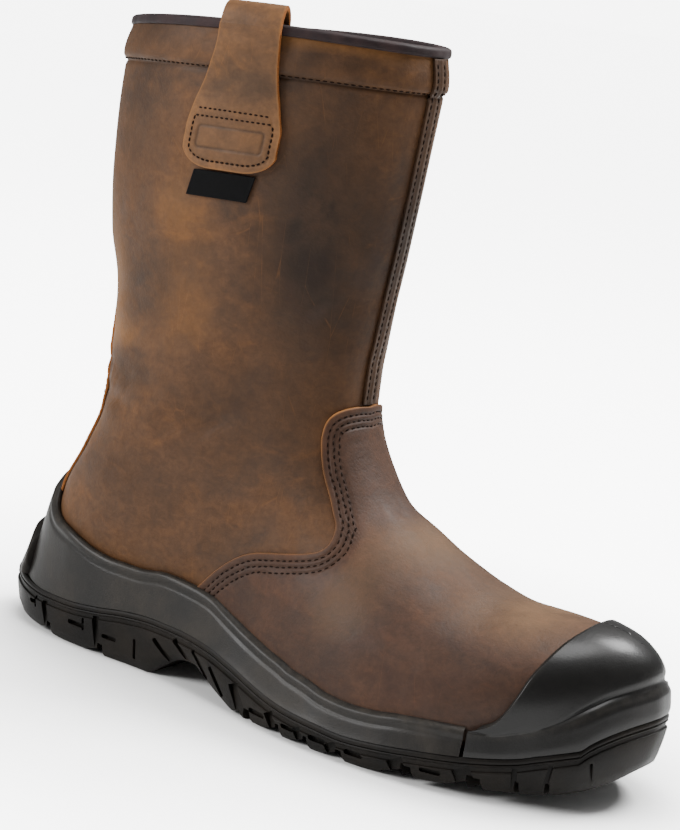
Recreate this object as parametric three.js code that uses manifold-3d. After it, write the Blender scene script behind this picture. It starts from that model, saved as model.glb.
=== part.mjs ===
// A pull-on safety boot for the right foot, standing empty on its sole.
// Millimetres. +X points to the toe, +Y to the inner side of the foot, +Z up.
// The origin is on the floor under the middle of the heel's flat rest.
import * as THREE from 'three';
import { mergeVertices } from 'three/addons/utils/BufferGeometryUtils.js';
import Module from 'manifold-3d';

const wasm = await Module();
wasm.setup();

// Driving dimensions
const soleLength = 320;
const ballWidth = 108;
const heelHeight = 28;       // heel seat above the floor
const instepHeight = 142;    // where the shaft meets the instep
const shaftRise = 143;       // from the instep to the front of the collar
const upperWall = 2.4;       // leather and lining together
const vampThickness = 1.6;
const clearance = 0.3;       // gap between neighbouring pieces
const rubberRim = 3;         // thickness of the rubber where it meets the leather
const capThickness = 2.6;
const insoleThickness = 5;
const lugDepth = 5.5;
const heelRestAt = 0.23;     // share of the sole's length
const collarArch = 3;        // how far the rim rises at its sides
const padHeight = 18;        // padded band under the rim
const padBulge = 1.7;
const bindingDrop = 2.6;
const bindingOver = 1.6;
const bindingThickness = 1.1;
const seamStripWidth = 9;
const backStripWidth = 13;
const seamStripThickness = 1.2;
const strapThickness = 2.2;
const patchWidth = 41;
const patchDrop = 60;        // from the rim to the lower end of the strap's patch
const labelWidth = 29;
const labelHeight = 11;
const labelThickness = 1;

const sideSteps = 11;        // facets from keel to ridge on one side
const outlineSteps = 24;     // facets from heel to toe on one side of the sole
const shellReach = 9;        // how far cutting forms run on above the collar
const farAway = 400;

// Heights run through four landmarks: 0 floor, 1 heel seat, 2 instep, 3 collar
function level(value) {
  if (value <= 1) return value * heelHeight;
  if (value <= 2) return heelHeight + (value - 1) * (instepHeight - heelHeight);
  return instepHeight + (value - 2) * shaftRise;
}

function named(columns, rows) {
  return rows.map((row) => Object.fromEntries(columns.map((name, i) => [name, row[i]])));
}

// A curve through the rows that never overshoots them
function curve(rows, from, to) {
  const x = rows.map((row) => row[from]);
  const y = rows.map((row) => row[to]);
  const slope = x.slice(1).map((value, i) => (y[i + 1] - y[i]) / (value - x[i]));
  const tangent = x.map((_, i) => {
    if (i === 0) return slope[0];
    if (i === x.length - 1) return slope[i - 1];
    if (slope[i - 1] * slope[i] <= 0) return 0;
    return 2 * slope[i - 1] * slope[i] / (slope[i - 1] + slope[i]);
  });
  return (value) => {
    const at = Math.min(Math.max(value, x[0]), x[x.length - 1]);
    let i = 0;
    while (i < x.length - 2 && at > x[i + 1]) i += 1;
    const width = x[i + 1] - x[i];
    const t = (at - x[i]) / width;
    const rise = t * t * (3 - 2 * t);
    const start = t * (1 - t) * (1 - t) * width * tangent[i];
    const end = t * t * (t - 1) * width * tangent[i + 1];
    return y[i] + (y[i + 1] - y[i]) * rise + start + end;
  };
}

// Side lines of the sole, at shares of its length, as levels
const soleLine = (rows) => {
  const line = curve(named(['at', 'height'], rows), 'at', 'height');
  return (x) => level(line(x / soleLength));
};
const groundLine = soleLine([
  [0, 0.14], [0.03, 0.1], [0.09, 0.06], [0.15, 0], [0.305, 0], [0.33, 0.18],
  [0.355, 0.38], [0.37, 0.43], [0.385, 0.43], [0.41, 0.3], [0.44, 0.14], [0.48, 0],
  [0.69, 0], [0.725, 0.04], [0.785, 0.1], [0.855, 0.16], [0.91, 0.23], [0.96, 0.36],
  [0.985, 0.49], [1, 0.62],
]);
const seamLine = soleLine([
  [0, 0.85], [0.055, 0.78], [0.11, 0.7], [0.16, 0.71], [0.21, 0.77], [0.26, 0.86],
  [0.315, 0.91], [0.36, 0.905], [0.415, 0.86], [0.465, 0.745], [0.535, 0.54], [0.575, 0.47],
  [0.62, 0.44], [0.66, 0.41], [0.71, 0.45], [0.755, 0.51], [0.82, 0.6], [0.88, 0.72],
  [0.91, 0.84], [0.94, 0.96], [0.96, 1.03], [0.985, 1.08], [1, 1.1],
]);
const rubberLine = soleLine([
  [0, 1.385], [0.03, 1.375], [0.05, 1.33], [0.075, 1.265], [0.105, 1.22], [0.14, 1.195],
  [0.185, 1.155], [0.225, 1.14], [0.27, 1.14], [0.32, 1.158], [0.37, 1.15], [0.4, 1.138],
  [0.435, 1.1], [0.47, 1.064], [0.51, 1.033], [0.55, 1.006], [0.59, 0.94], [0.62, 0.865],
  [0.66, 0.835], [0.695, 0.855], [0.73, 0.915], [0.795, 0.975], [0.85, 1],
]);
const creaseLine = soleLine([
  [0.8, 0.96], [0.845, 0.99], [0.885, 1.03], [0.92, 1.075], [0.945, 1.12], [0.96, 1.15],
  [0.975, 1.18], [1, 1.21],
]);
const bedLine = soleLine([
  [0, 1], [0.21, 1], [0.315, 1.01], [0.36, 1.009], [0.415, 0.975], [0.465, 0.865],
  [0.535, 0.665], [0.62, 0.555], [0.66, 0.535], [0.755, 0.63], [0.82, 0.73], [0.88, 0.86],
  [0.91, 0.98], [0.94, 1.027], [0.96, 1.065], [0.98, 1.1], [1, 1.13],
]);

// The sole's outline, from the back of the heel round the outer side to the toe and back
const outlineRows = named(['at', 'side'], [
  [0.017, 0], [0.024, -0.115], [0.043, -0.208], [0.083, -0.296], [0.148, -0.343],
  [0.216, -0.361], [0.291, -0.366], [0.372, -0.394], [0.434, -0.435], [0.497, -0.481],
  [0.559, -0.519], [0.628, -0.542], [0.722, -0.532], [0.816, -0.477], [0.887, -0.389],
  [0.944, -0.303], [0.979, -0.166], [0.998, -0.019], [1, 0.074], [0.994, 0.163],
  [0.976, 0.241], [0.943, 0.324], [0.887, 0.397], [0.816, 0.435], [0.722, 0.463],
  [0.628, 0.435], [0.559, 0.394], [0.497, 0.352], [0.434, 0.329], [0.372, 0.329],
  [0.291, 0.343], [0.216, 0.352], [0.148, 0.333], [0.083, 0.287], [0.043, 0.203],
  [0.024, 0.115],
]);
const toeRow = 18;
const outlinePath = new THREE.CatmullRomCurve3(
  outlineRows.map((row) => new THREE.Vector3(row.at * soleLength, row.side * ballWidth, 0)),
  true,
);

function outlinePoints() {
  const toeShare = toeRow / outlineRows.length;
  const shares = [];
  for (let i = 0; i < outlineSteps; i += 1) shares.push(toeShare * i / outlineSteps);
  for (let i = 0; i < outlineSteps; i += 1) {
    shares.push(toeShare + (1 - toeShare) * i / outlineSteps);
  }
  return shares.map((share) => {
    const point = outlinePath.getPoint(share);
    const along = outlinePath.getTangent(share);
    return { x: point.x, y: point.y, outX: along.y, outY: -along.x };
  }).map((p) => (p.outX * (p.x - soleLength / 2) + p.outY * p.y < 0
    ? { ...p, outX: -p.outX, outY: -p.outY } : p));
}
const outline = outlinePoints();

// Sections of the upper, each in a plane through the keel and the ridge of the form.
// The keel runs under the foot from the toe to the heel and up the back of the shaft,
// the ridge over the toe and the instep and up its front. The last two columns say how
// square a section is below and above its widest place.
const sections = named([
  'keelAt', 'keelLevel', 'ridgeAt', 'ridgeLevel', 'centre', 'outer', 'inner', 'widest',
  'below', 'above',
], [
  [0.979, 1.145, 0.979, 1.154, 0.044, 0.004, 0.004, 0.5, 2.2, 2.2],
  [0.976, 1.092, 0.977, 1.211, 0.044, 0.06, 0.06, 0.45, 2.6, 2.2],
  [0.969, 1.057, 0.971, 1.259, 0.037, 0.106, 0.106, 0.43, 3, 2.2],
  [0.953, 1.015, 0.956, 1.298, 0.023, 0.171, 0.171, 0.42, 3.4, 2.2],
  [0.931, 0.893, 0.933, 1.329, 0.009, 0.236, 0.236, 0.4, 4, 2.2],
  [0.897, 0.732, 0.897, 1.345, 0, 0.31, 0.306, 0.38, 4.4, 2.2],
  [0.847, 0.582, 0.847, 1.349, 0, 0.381, 0.356, 0.36, 5, 2.2],
  [0.784, 0.464, 0.791, 1.346, 0, 0.435, 0.389, 0.34, 5, 2.2],
  [0.716, 0.382, 0.731, 1.384, 0, 0.466, 0.4, 0.32, 5, 2.15],
  [0.647, 0.329, 0.68, 1.453, 0, 0.474, 0.375, 0.3, 5, 2.1],
  [0.578, 0.393, 0.634, 1.521, 0, 0.456, 0.329, 0.28, 4.6, 2.15],
  [0.509, 0.529, 0.595, 1.583, 0, 0.421, 0.287, 0.3, 4.2, 2.2],
  [0.441, 0.696, 0.567, 1.662, 0, 0.38, 0.273, 0.33, 3.8, 2.3],
  [0.366, 0.804, 0.543, 1.759, 0, 0.356, 0.276, 0.36, 3.4, 2.4],
  [0.284, 0.804, 0.526, 1.851, 0, 0.343, 0.294, 0.4, 3, 2.5],
  [0.197, 0.786, 0.519, 1.947, 0, 0.343, 0.319, 0.42, 2.8, 2.5],
  [0.116, 0.796, 0.519, 2.049, 0, 0.347, 0.338, 0.45, 2.6, 2.45],
  [0.069, 1, 0.522, 2.126, 0, 0.352, 0.352, 0.47, 2.45, 2.35],
  [0.057, 1.123, 0.525, 2.203, 0, 0.358, 0.358, 0.49, 2.3, 2.25],
  [0.064, 1.281, 0.5274, 2.26, 0, 0.365, 0.365, 0.499, 2.207, 2.157],
  [0.0927, 1.47, 0.5304, 2.33, 0, 0.373, 0.373, 0.5, 2.101, 2.1],
  [0.1168, 1.71, 0.5338, 2.41, 0, 0.381, 0.381, 0.5, 2.041, 2.041],
  [0.1088, 2.1, 0.5393, 2.57, 0, 0.401, 0.401, 0.5, 2, 2],
  [0.0864, 2.29, 0.5417, 2.655, 0, 0.417, 0.417, 0.5, 2, 2],
  [0.0757, 2.49, 0.5439, 2.735, 0, 0.429, 0.429, 0.5, 2, 2],
  [0.0734, 2.67, 0.5458, 2.805, 0, 0.438, 0.438, 0.5, 2, 2],
  [0.0756, 2.808, 0.547, 2.862, 0, 0.442, 0.442, 0.5, 2, 2],
  [0.082, 2.933, 0.544, 2.989, 0, 0.444, 0.444, 0.5, 2, 2],
]);
const lastSection = sections.length - 1;

function sectionAt(place) {
  const i = Math.min(Math.floor(place), lastSection - 1);
  const t = place - i;
  const value = (name) => sections[i][name] * (1 - t) + sections[i + 1][name] * t;
  return {
    keel: new THREE.Vector2(value('keelAt') * soleLength, level(value('keelLevel'))),
    ridge: new THREE.Vector2(value('ridgeAt') * soleLength, level(value('ridgeLevel'))),
    centre: value('centre') * ballWidth,
    outer: value('outer') * ballWidth,
    inner: value('inner') * ballWidth,
    widest: value('widest'),
    below: value('below'),
    above: value('above'),
  };
}

// A point of a section at a turn from the keel, 0, to the ridge, half a circle on
function sectionPoint(section, turn, side) {
  const lower = turn < Math.PI / 2;
  const power = 2 / (lower ? section.below : section.above);
  const reach = lower ? section.widest : 1 - section.widest;
  const climb = Math.abs(Math.cos(turn)) ** power * reach * (lower ? -1 : 1);
  const half = Math.abs(Math.sin(turn)) ** power * (side < 0 ? section.outer : section.inner);
  const flat = section.keel.clone().lerp(section.ridge, section.widest + climb);
  return new THREE.Vector3(flat.x, section.centre + side * half, flat.y);
}

// How far the form reaches to one side at a place of the side view
function formReach(x, z, side) {
  const beyond = (place) => {
    const { keel, ridge } = sectionAt(place);
    return (ridge.x - keel.x) * (z - keel.y) - (ridge.y - keel.y) * (x - keel.x);
  };
  let low = 0;
  let high = lastSection;
  for (let i = 0; i < 24; i += 1) {
    const middle = (low + high) / 2;
    if (beyond(middle) > 0) low = middle;
    else high = middle;
  }
  const section = sectionAt((low + high) / 2);
  const line = section.ridge.clone().sub(section.keel);
  const share = new THREE.Vector2(x, z).sub(section.keel).dot(line) / line.lengthSq();
  if (share <= 0 || share >= 1) return 0;
  const lower = share < section.widest;
  const away = lower
    ? (section.widest - share) / section.widest
    : (share - section.widest) / (1 - section.widest);
  const power = lower ? section.below : section.above;
  const half = side < 0 ? section.outer : section.inner;
  return side * section.centre + half * (1 - away ** power) ** (1 / power);
}

function outwardAt(x, z, side) {
  const step = 1;
  const alongX = formReach(x + step, z, side) - formReach(x - step, z, side);
  const alongZ = formReach(x, z + step, side) - formReach(x, z - step, side);
  return new THREE.Vector3(-alongX / (2 * step), side, -alongZ / (2 * step)).normalize();
}

// Closed body through rings of equally many points, each ring going out along one side
// and back along the other; a first ring of one point is a tip
function loft(rings) {
  const count = rings[1].length;
  const half = count / 2;
  const position = [];
  const index = [];
  const first = [];
  for (const ring of rings) {
    first.push(position.length / 3);
    for (const p of ring) position.push(p.x, p.y, p.z);
  }
  for (let r = 0; r < rings.length - 1; r += 1) {
    for (let i = 0; i < count; i += 1) {
      const next = (i + 1) % count;
      const [a, b] = [first[r + 1] + i, first[r + 1] + next];
      if (rings[r].length === 1) {
        index.push(first[r], b, a);
      } else {
        const [c, d] = [first[r] + i, first[r] + next];
        index.push(c, d, b, c, b, a);
      }
    }
  }
  const ladder = (start, flip) => {
    const push = (a, b, c) => (flip ? index.push(a, c, b) : index.push(a, b, c));
    for (let i = 0; i < half; i += 1) {
      const [a, b] = [start + i, start + i + 1];
      const [c, d] = [start + (count - i) % count, start + count - i - 1];
      if (i > 0) push(a, b, c);
      if (i < half - 1) push(b, d, c);
    }
  };
  if (rings[0].length > 1) ladder(first[0], true);
  ladder(first[rings.length - 1], false);
  const geometry = new THREE.BufferGeometry();
  geometry.setAttribute('position', new THREE.Float32BufferAttribute(position, 3));
  geometry.setIndex(index);
  return geometry;
}

function solid(geometry) {
  const plain = geometry.clone();
  plain.deleteAttribute('normal');
  plain.deleteAttribute('uv');
  const merged = mergeVertices(plain, 1e-4);
  const body = new wasm.Manifold(new wasm.Mesh({
    numProp: 3,
    vertProperties: new Float32Array(merged.attributes.position.array),
    triVerts: new Uint32Array(merged.index.array),
  }));
  if (body.volume() > 0) return body;
  const turned = Uint32Array.from(merged.index.array);
  for (let i = 0; i < turned.length; i += 3) {
    [turned[i + 1], turned[i + 2]] = [turned[i + 2], turned[i + 1]];
  }
  return new wasm.Manifold(new wasm.Mesh({
    numProp: 3,
    vertProperties: new Float32Array(merged.attributes.position.array),
    triVerts: turned,
  }));
}

function box(lengths, centre, turnZ = 0, turnY = 0) {
  const geometry = new THREE.BoxGeometry(...lengths);
  geometry.rotateY(turnY);
  geometry.rotateZ(turnZ);
  geometry.translate(...centre);
  return solid(geometry);
}

// A side-view outline of [x, z] corners, run right across the boot
function sidePrism(corners) {
  const shape = new THREE.Shape(corners.map(([x, z]) => new THREE.Vector2(x, z)));
  const geometry = new THREE.ExtrudeGeometry(shape, { depth: farAway, bevelEnabled: false });
  geometry.rotateX(Math.PI / 2);
  geometry.translate(0, farAway / 2, 0);
  return solid(geometry);
}

// All of the side view above or below one of the sole's lines, shifted by a rise
function lineCorners(line, rise, from, to, steps) {
  const corners = [];
  for (let i = 0; i <= steps; i += 1) {
    const x = from + (to - from) * i / steps;
    corners.push([x, line(x) + rise]);
  }
  return corners;
}
function above(line, rise) {
  const corners = lineCorners(line, rise, -soleLength / 8, soleLength * 1.1, 38);
  return sidePrism([...corners, [soleLength * 1.1, farAway], [-soleLength / 8, farAway]]);
}
function below(line, rise) {
  const corners = lineCorners(line, rise, -soleLength / 8, soleLength * 1.1, 38);
  return sidePrism([...corners, [soleLength * 1.1, -farAway], [-soleLength / 8, -farAway]]);
}

// Where the rings of the form lie: closer together at the toe and at the padded collar
const collarStart = lastSection - 1;
const ringPlaces = [];
for (let k = 1; k < collarStart; k += 1) ringPlaces.push(k);
const padDepth = (place) => {
  const here = sectionAt(place);
  const rim = sectionAt(lastSection);
  return (rim.keel.y + rim.ridge.y - here.keel.y - here.ridge.y) / 2;
};
const collarSpan = padDepth(collarStart - 0.001);
const placeAtDepth = (depth) => lastSection - depth / collarSpan;
const padSteps = [1.12, 1, 0.9, 0.7, 0.25, 0];
for (const step of padSteps) {
  const place = placeAtDepth(step * padHeight);
  if (place > collarStart - 1) ringPlaces.push(place);
}
ringPlaces.sort((a, b) => a - b);

// How far the padding stands out, down the band to the stitches that hold it
const padLine = curve(named(['depth', 'out'], [
  [0, -0.1], [0.25, 0.3], [0.7, 1], [0.9, 0.8], [1, -0.35], [1.12, 0],
]), 'depth', 'out');
const padAt = (depth) => padBulge * padLine(depth / padHeight);

const formTip = new THREE.Vector3(
  sections[0].keelAt * soleLength,
  sections[0].centre * ballWidth,
  level((sections[0].keelLevel + sections[0].ridgeLevel) / 2),
);
const formRings = ringPlaces.map((place) => {
  const section = sectionAt(place);
  const arch = Math.max(0, 1 - padDepth(place) / (2 * padHeight)) * collarArch;
  const ring = [];
  for (let i = 0; i < 2 * sideSteps; i += 1) {
    const side = i <= sideSteps ? -1 : 1;
    const turn = Math.PI * (i <= sideSteps ? i : 2 * sideSteps - i) / sideSteps;
    const point = sectionPoint(section, turn, side);
    point.z += arch * (point.y / section.outer) ** 2;
    ring.push(point);
  }
  return ring;
});
const formNormals = formRings.map((ring, r) => ring.map((_, i) => {
  const count = ring.length;
  const before = r === 0 ? formTip : formRings[r - 1][i];
  const after = formRings[Math.min(r + 1, formRings.length - 1)][i];
  const along = after.clone().sub(before);
  const round = ring[(i + 1) % count].clone().sub(ring[(i + count - 1) % count]);
  return round.cross(along).normalize();
}));

// The upper's own form, moved out along its normals, and run on past the collar by a rise
function form(offset, rise = shellReach) {
  const rings = formRings.map((ring, r) => ring.map((point, i) => {
    const pad = padAt(padDepth(ringPlaces[r]));
    return point.clone().addScaledVector(formNormals[r][i], offset + pad);
  }));
  const tip = formTip.clone().add(new THREE.Vector3(offset, 0, 0));
  const last = rings[rings.length - 1];
  if (rise > 0) rings.push(last.map((p) => p.clone().add(new THREE.Vector3(0, 0, rise))));
  return solid(loft([[tip], ...rings]));
}

const belowBed = below(bedLine, 0);
const cavity = form(-upperWall);
const skin = form(clearance);
const grownWall = form(clearance, clearance).subtract(form(-upperWall - clearance));

function upperSolid() {
  return form(0, 0).subtract(cavity).subtract(belowBed);
}

function insoleSolid() {
  const slab = below(bedLine, insoleThickness).subtract(belowBed);
  return form(-upperWall - clearance).intersect(slab);
}

// A wall that stands on the sole's outline and leans in to the leather
const wallRows = named(['share', 'lean'], [
  [0, 0.03], [0.14, 0.16], [0.5, 0.44], [0.8, 0.66], [0.93, 0.79], [1, 1],
]);
function distanceToForm(p, z) {
  let low = 0;
  let high = soleLength / 6;
  for (let i = 0; i < 18; i += 1) {
    const middle = (low + high) / 2;
    const x = p.x - p.outX * middle;
    const y = p.y - p.outY * middle;
    const side = y < 0 ? -1 : 1;
    if (Math.abs(y) > formReach(x, z, side)) low = middle;
    else high = middle;
  }
  return (low + high) / 2;
}
function wallRing(bottom, top, lean, share, extra) {
  return outline.map((p) => {
    const inset = Math.max(distanceToForm(p, top(p.x)) - rubberRim, 1) * lean - extra;
    const z = bottom(p.x) + (top(p.x) - bottom(p.x)) * share;
    return new THREE.Vector3(p.x - p.outX * inset, p.y - p.outY * inset, z);
  });
}
function wallBlock(bottom, top, extra) {
  return solid(loft(wallRows.map((row) => wallRing(bottom, top, row.lean, row.share, extra))));
}
const seamInset = 0.11 * lugDepth;
const wallFoot = (x) => seamLine(x) + clearance;
const bedCavity = above(bedLine, -clearance);
const jointAt = 0.821;       // upright joint between the midsole and the toe cap
const capSide = box(
  [soleLength, farAway, farAway],
  [jointAt * soleLength + clearance / 2 + soleLength / 2, 0, 0],
);

// The rubber with a gap all round it, for cutting the leather above
const nearRubber = wallBlock(wallFoot, rubberLine, clearance)
  .add(wallBlock(wallFoot, rubberLine, 0).translate([0, 0, clearance]));

function midsoleSolid() {
  const joint = capSide.translate([-clearance, 0, 0]);
  return wallBlock(wallFoot, rubberLine, 0).subtract(skin.intersect(bedCavity)).subtract(joint);
}

// The vamp's edge in the side view, as shares of the length and levels: from the rubber
// up over the quarter, round the corner, up the front and across the instep
const vampEdge = named(['at', 'level'], [
  [0.37, 1.14], [0.38, 1.17], [0.402, 1.24], [0.429, 1.305], [0.458, 1.347], [0.504, 1.378],
  [0.536, 1.4], [0.554, 1.423], [0.561, 1.458], [0.558, 1.508], [0.548, 1.549], [0.534, 1.609],
  [0.52, 1.668], [0.509, 1.731], [0.502, 1.796], [0.501, 1.852], [0.505, 1.88], [0.512, 1.908],
  [0.521, 1.922], [0.6, 1.93],
]);
function vampSolid() {
  const edge = vampEdge.map((row) => [row.at * soleLength, level(row.level)]);
  const jointX = jointAt * soleLength + clearance / 2;
  const under = [
    ...lineCorners(bedLine, 3 * clearance, soleLength * 1.05, jointX + clearance, 18),
    ...lineCorners(rubberLine, clearance, jointX + clearance - 0.01, edge[0][0], 24),
  ];
  const region = sidePrism([...edge.slice(1), [soleLength * 1.05, farAway / 2], ...under]);
  return form(clearance + vampThickness).subtract(skin).intersect(region)
    .subtract(nearRubber.subtract(capSide));
}

// The bumper: a dome over the vamp with a thicker band round its foot
const capEdge = named(['at', 'level'], [
  [0.821, 1], [0.843, 1.032], [0.856, 1.085], [0.866, 1.145], [0.873, 1.2], [0.882, 1.25],
  [0.892, 1.3], [0.903, 1.341], [0.908, 1.37], [0.912, 1.42],
]);
function toeCapSolid() {
  const inside = form(2 * clearance + vampThickness).intersect(bedCavity);
  const dome = form(2 * clearance + vampThickness + capThickness);
  const band = solid(loft([
    outline.map((p) => new THREE.Vector3(p.x, p.y, wallFoot(p.x))),
    outline.map((p) => new THREE.Vector3(
      p.x - rubberRim * p.outX / 3,
      p.y - rubberRim * p.outY / 3,
      creaseLine(p.x) - rubberRim,
    )),
    outline.map((p) => new THREE.Vector3(
      p.x - rubberRim * p.outX,
      p.y - rubberRim * p.outY,
      creaseLine(p.x),
    )),
  ]));
  const edge = capEdge.map((row) => [row.at * soleLength, level(row.level)]);
  const jointX = jointAt * soleLength + clearance / 2;
  edge[0][0] = jointX;
  const region = sidePrism([
    [jointX, 0], ...edge, [soleLength * 1.1, level(1.42)], [soleLength * 1.1, 0],
  ]);
  const under = solid(loft([-lugDepth, 0].map((drop) => outline.map((p) => new THREE.Vector3(
    p.x - seamInset * p.outX / 2,
    p.y - seamInset * p.outY / 2,
    wallFoot(p.x) + 4 * drop,
  )))));
  return dome.add(band).intersect(region).subtract(inside).subtract(under);
}

// Rows of the outsole's side, up from the ground: a tapered foot, the lug wall, a groove
// and two beads under the seam; share runs from the ground to the seam, and rise and inset
// are shares of the lugs' depth
const outsoleRows = named(['share', 'rise', 'inset'], [
  [0, 0, 0.76], [0, 0.25, 0.5], [0.45, 0, 0.18], [1, -0.95, 0.16], [1, -0.85, 0], [1, -0.58, 0],
  [1, -0.49, 0.145], [1, -0.38, 0.02], [1, 0, 0.11],
]);
const heelBulge = 4.5;
const kickThickness = 3.2;
const kickTab = named(['side', 'level'], [
  [-0.25, 0.5], [-0.24, 1], [-0.2, 1.1], [-0.13, 1.15], [0, 1.165], [0.13, 1.15],
  [0.2, 1.1], [0.24, 1], [0.25, 0.5],
]);

// The raised tab of the outsole behind the heel, for kicking the boot off
function kickSolid() {
  const foot = (x) => seamLine(x) - lugDepth;
  const outside = wallBlock(foot, rubberLine, kickThickness);
  const inside = wallBlock(seamLine, rubberLine, clearance);
  const shape = new THREE.Shape(kickTab.map(
    (row) => new THREE.Vector2(row.side * ballWidth, level(row.level)),
  ));
  const geometry = new THREE.ExtrudeGeometry(shape, { depth: soleLength / 4, bevelEnabled: false });
  geometry.rotateX(Math.PI / 2);
  geometry.rotateZ(Math.PI / 2);
  geometry.translate(-soleLength / 8, 0, 0);
  return outside.subtract(inside).intersect(solid(geometry));
}

// Channels between the lugs, mirrored to both sides: where they leave the sole's edge,
// their width, how far they run in and how they slant
const channels = named(['at', 'width', 'reach', 'slant'], [
  [0.1, 0.009, 0.2, 0.1], [0.2, 0.01, 0.2, 0], [0.5, 0.014, 0.36, 0.35], [0.555, 0.012, 0.3, 0.3],
  [0.635, 0.015, 0.44, 0.3], [0.728, 0.017, 0.44, 0.3], [0.817, 0.018, 0.4, 0.25],
  [0.876, 0.006, 0.14, 0.05], [0.903, 0.006, 0.12, -0.1],
]);
// Grooves along the tread, mirrored to both sides: their ends and their distance out
const grooves = named(['from', 'to', 'side'], [
  [0.03, 0.285, 0.2], [0.52, 0.64, 0.26], [0.63, 0.735, 0.3], [0.725, 0.825, 0.25],
]);
// Slots in the faces of the lugs on both sides, with their level above the ground
const slots = named(['at', 'length', 'up'], [
  [0.52, 0.03, 0.2], [0.585, 0.028, 0.185], [0.675, 0.028, 0.17], [0.76, 0.026, 0.18],
  [0.245, 0.03, 0.3], [0.155, 0.028, 0.34],
]);
const slotHeight = 2.6;
const slotDepth = 2.2;
// Slanted cuts that leave ribs on the sides of the arch
const ribCuts = named(['at', 'lean'], [[0.335, 0.9], [0.37, 0.8], [0.405, 0.75], [0.44, 0.7]]);
const ribCutWidth = 2.4;

function outlineAt(x, side) {
  const near = outline.filter((p) => p.y * side > 0)
    .sort((a, b) => Math.abs(a.x - x) - Math.abs(b.x - x));
  const [a, b] = near;
  return a.y + (b.y - a.y) * (x - a.x) / (b.x - a.x);
}

function treadCuts() {
  const cuts = [];
  for (const side of [-1, 1]) {
    for (const { at, width, reach, slant } of channels) {
      const x = at * soleLength;
      const length = 2 * reach * ballWidth;
      const middle = [x, outlineAt(x, side), groundLine(x)];
      cuts.push(box([width * soleLength, length, 2 * lugDepth], middle, side * slant));
    }
    for (const { from, to, side: out } of grooves) {
      const x = (from + to) / 2 * soleLength;
      const lengths = [(to - from) * soleLength, 0.035 * ballWidth, 2 * lugDepth];
      cuts.push(box(lengths, [x, side * out * ballWidth, groundLine(x)]));
    }
    for (const { at, length, up } of slots) {
      const x = at * soleLength;
      const lengths = [length * soleLength, 2 * slotDepth, slotHeight];
      const turn = Math.atan2(outlineAt(x + lugDepth, side) - outlineAt(x, side), lugDepth);
      const middle = [x, outlineAt(x, side) - side * slotDepth / 2, groundLine(x) + level(up)];
      cuts.push(box(lengths, middle, turn));
    }
    for (const { at, lean } of ribCuts) {
      const x = at * soleLength;
      const z = (groundLine(x) + seamLine(x)) / 2 - lugDepth / 2;
      const lengths = [ribCutWidth, 2 * slotDepth, heelHeight / 2];
      const middle = [x, outlineAt(x, side) - side * slotDepth / 2, z];
      cuts.push(box(lengths, middle, 0, -lean));
    }
  }
  return cuts;
}

function outsoleSolid() {
  const rings = outsoleRows.map((row) => outline.map((p) => {
    const ground = groundLine(p.x);
    const behind = p.x < soleLength / 4 ? Math.max(0, -p.outX) ** 2 : 0;
    const inset = row.inset * lugDepth - heelBulge * behind * (row.inset < 0.4 ? 1 : 0.8);
    const z = ground + (seamLine(p.x) - ground) * row.share + row.rise * lugDepth;
    return new THREE.Vector3(p.x - p.outX * inset, p.y - p.outY * inset, z);
  }));
  let body = solid(loft(rings)).add(kickSolid());
  for (const cut of treadCuts()) body = body.subtract(cut);
  return body;
}

// Closed tube: one closed profile of [out, up] places carried round a closed line
function sweepRound(frames, profile) {
  const position = [];
  const index = [];
  const count = profile.length;
  frames.forEach(({ point, out }, f) => {
    for (const [away, up] of profile) {
      const p = point.clone().addScaledVector(out, away);
      position.push(p.x, p.y, p.z + up);
    }
    const next = (f + 1) % frames.length;
    for (let i = 0; i < count; i += 1) {
      const j = (i + 1) % count;
      const [a, b, c, d] = [f * count + i, f * count + j, next * count + j, next * count + i];
      index.push(a, b, c, a, c, d);
    }
  });
  const geometry = new THREE.BufferGeometry();
  geometry.setAttribute('position', new THREE.Float32BufferAttribute(position, 3));
  geometry.setIndex(index);
  return solid(geometry);
}

const rimRing = formRings[formRings.length - 1];
const rimFrames = rimRing.map((point, i) => {
  const out = formNormals[formRings.length - 1][i].clone();
  out.z = 0;
  out.normalize();
  return { point: point.clone().addScaledVector(out, padAt(0)), out };
});

function bindingSolid() {
  const near = clearance;
  const far = clearance + bindingThickness;
  const inner = -upperWall;
  return sweepRound(rimFrames, [
    [far, -bindingDrop], [far, 0], [near, bindingOver - near], [inner / 2, bindingOver],
    [inner - near, bindingOver - near], [inner - far, 0], [inner - far, -bindingDrop],
  ]).subtract(grownWall);
}

// A raised strip down the middle of the shaft's front or back
function seamStrip(width, thickness, front, from, to) {
  const shell = form(clearance + thickness).subtract(skin);
  const middle = soleLength * 0.3;
  return shell.intersect(box(
    [soleLength, width, 2 * farAway],
    [middle + (front ? 1 : -1) * soleLength / 2, 0, 0],
  )).intersect(sidePrism([[-soleLength, from], [soleLength, from], [soleLength, to],
    [-soleLength, to]]));
}

function frontSeamSolid() {
  const top = sectionAt(lastSection).ridge.y - bindingDrop - 2 * clearance;
  const vampTop = form(2 * clearance + vampThickness).intersect(sidePrism([
    [0, 0], [soleLength, 0], [soleLength, level(vampEdge[vampEdge.length - 1].level) + clearance],
    [0, level(vampEdge[vampEdge.length - 1].level) + clearance],
  ]));
  return seamStrip(seamStripWidth, seamStripThickness, true, level(1.9), top).subtract(vampTop);
}

function backStripSolid() {
  const top = sectionAt(lastSection).keel.y - bindingDrop - 2 * clearance;
  return seamStrip(backStripWidth, seamStripThickness, false, level(1.2), top)
    .subtract(nearRubber);
}

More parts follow.
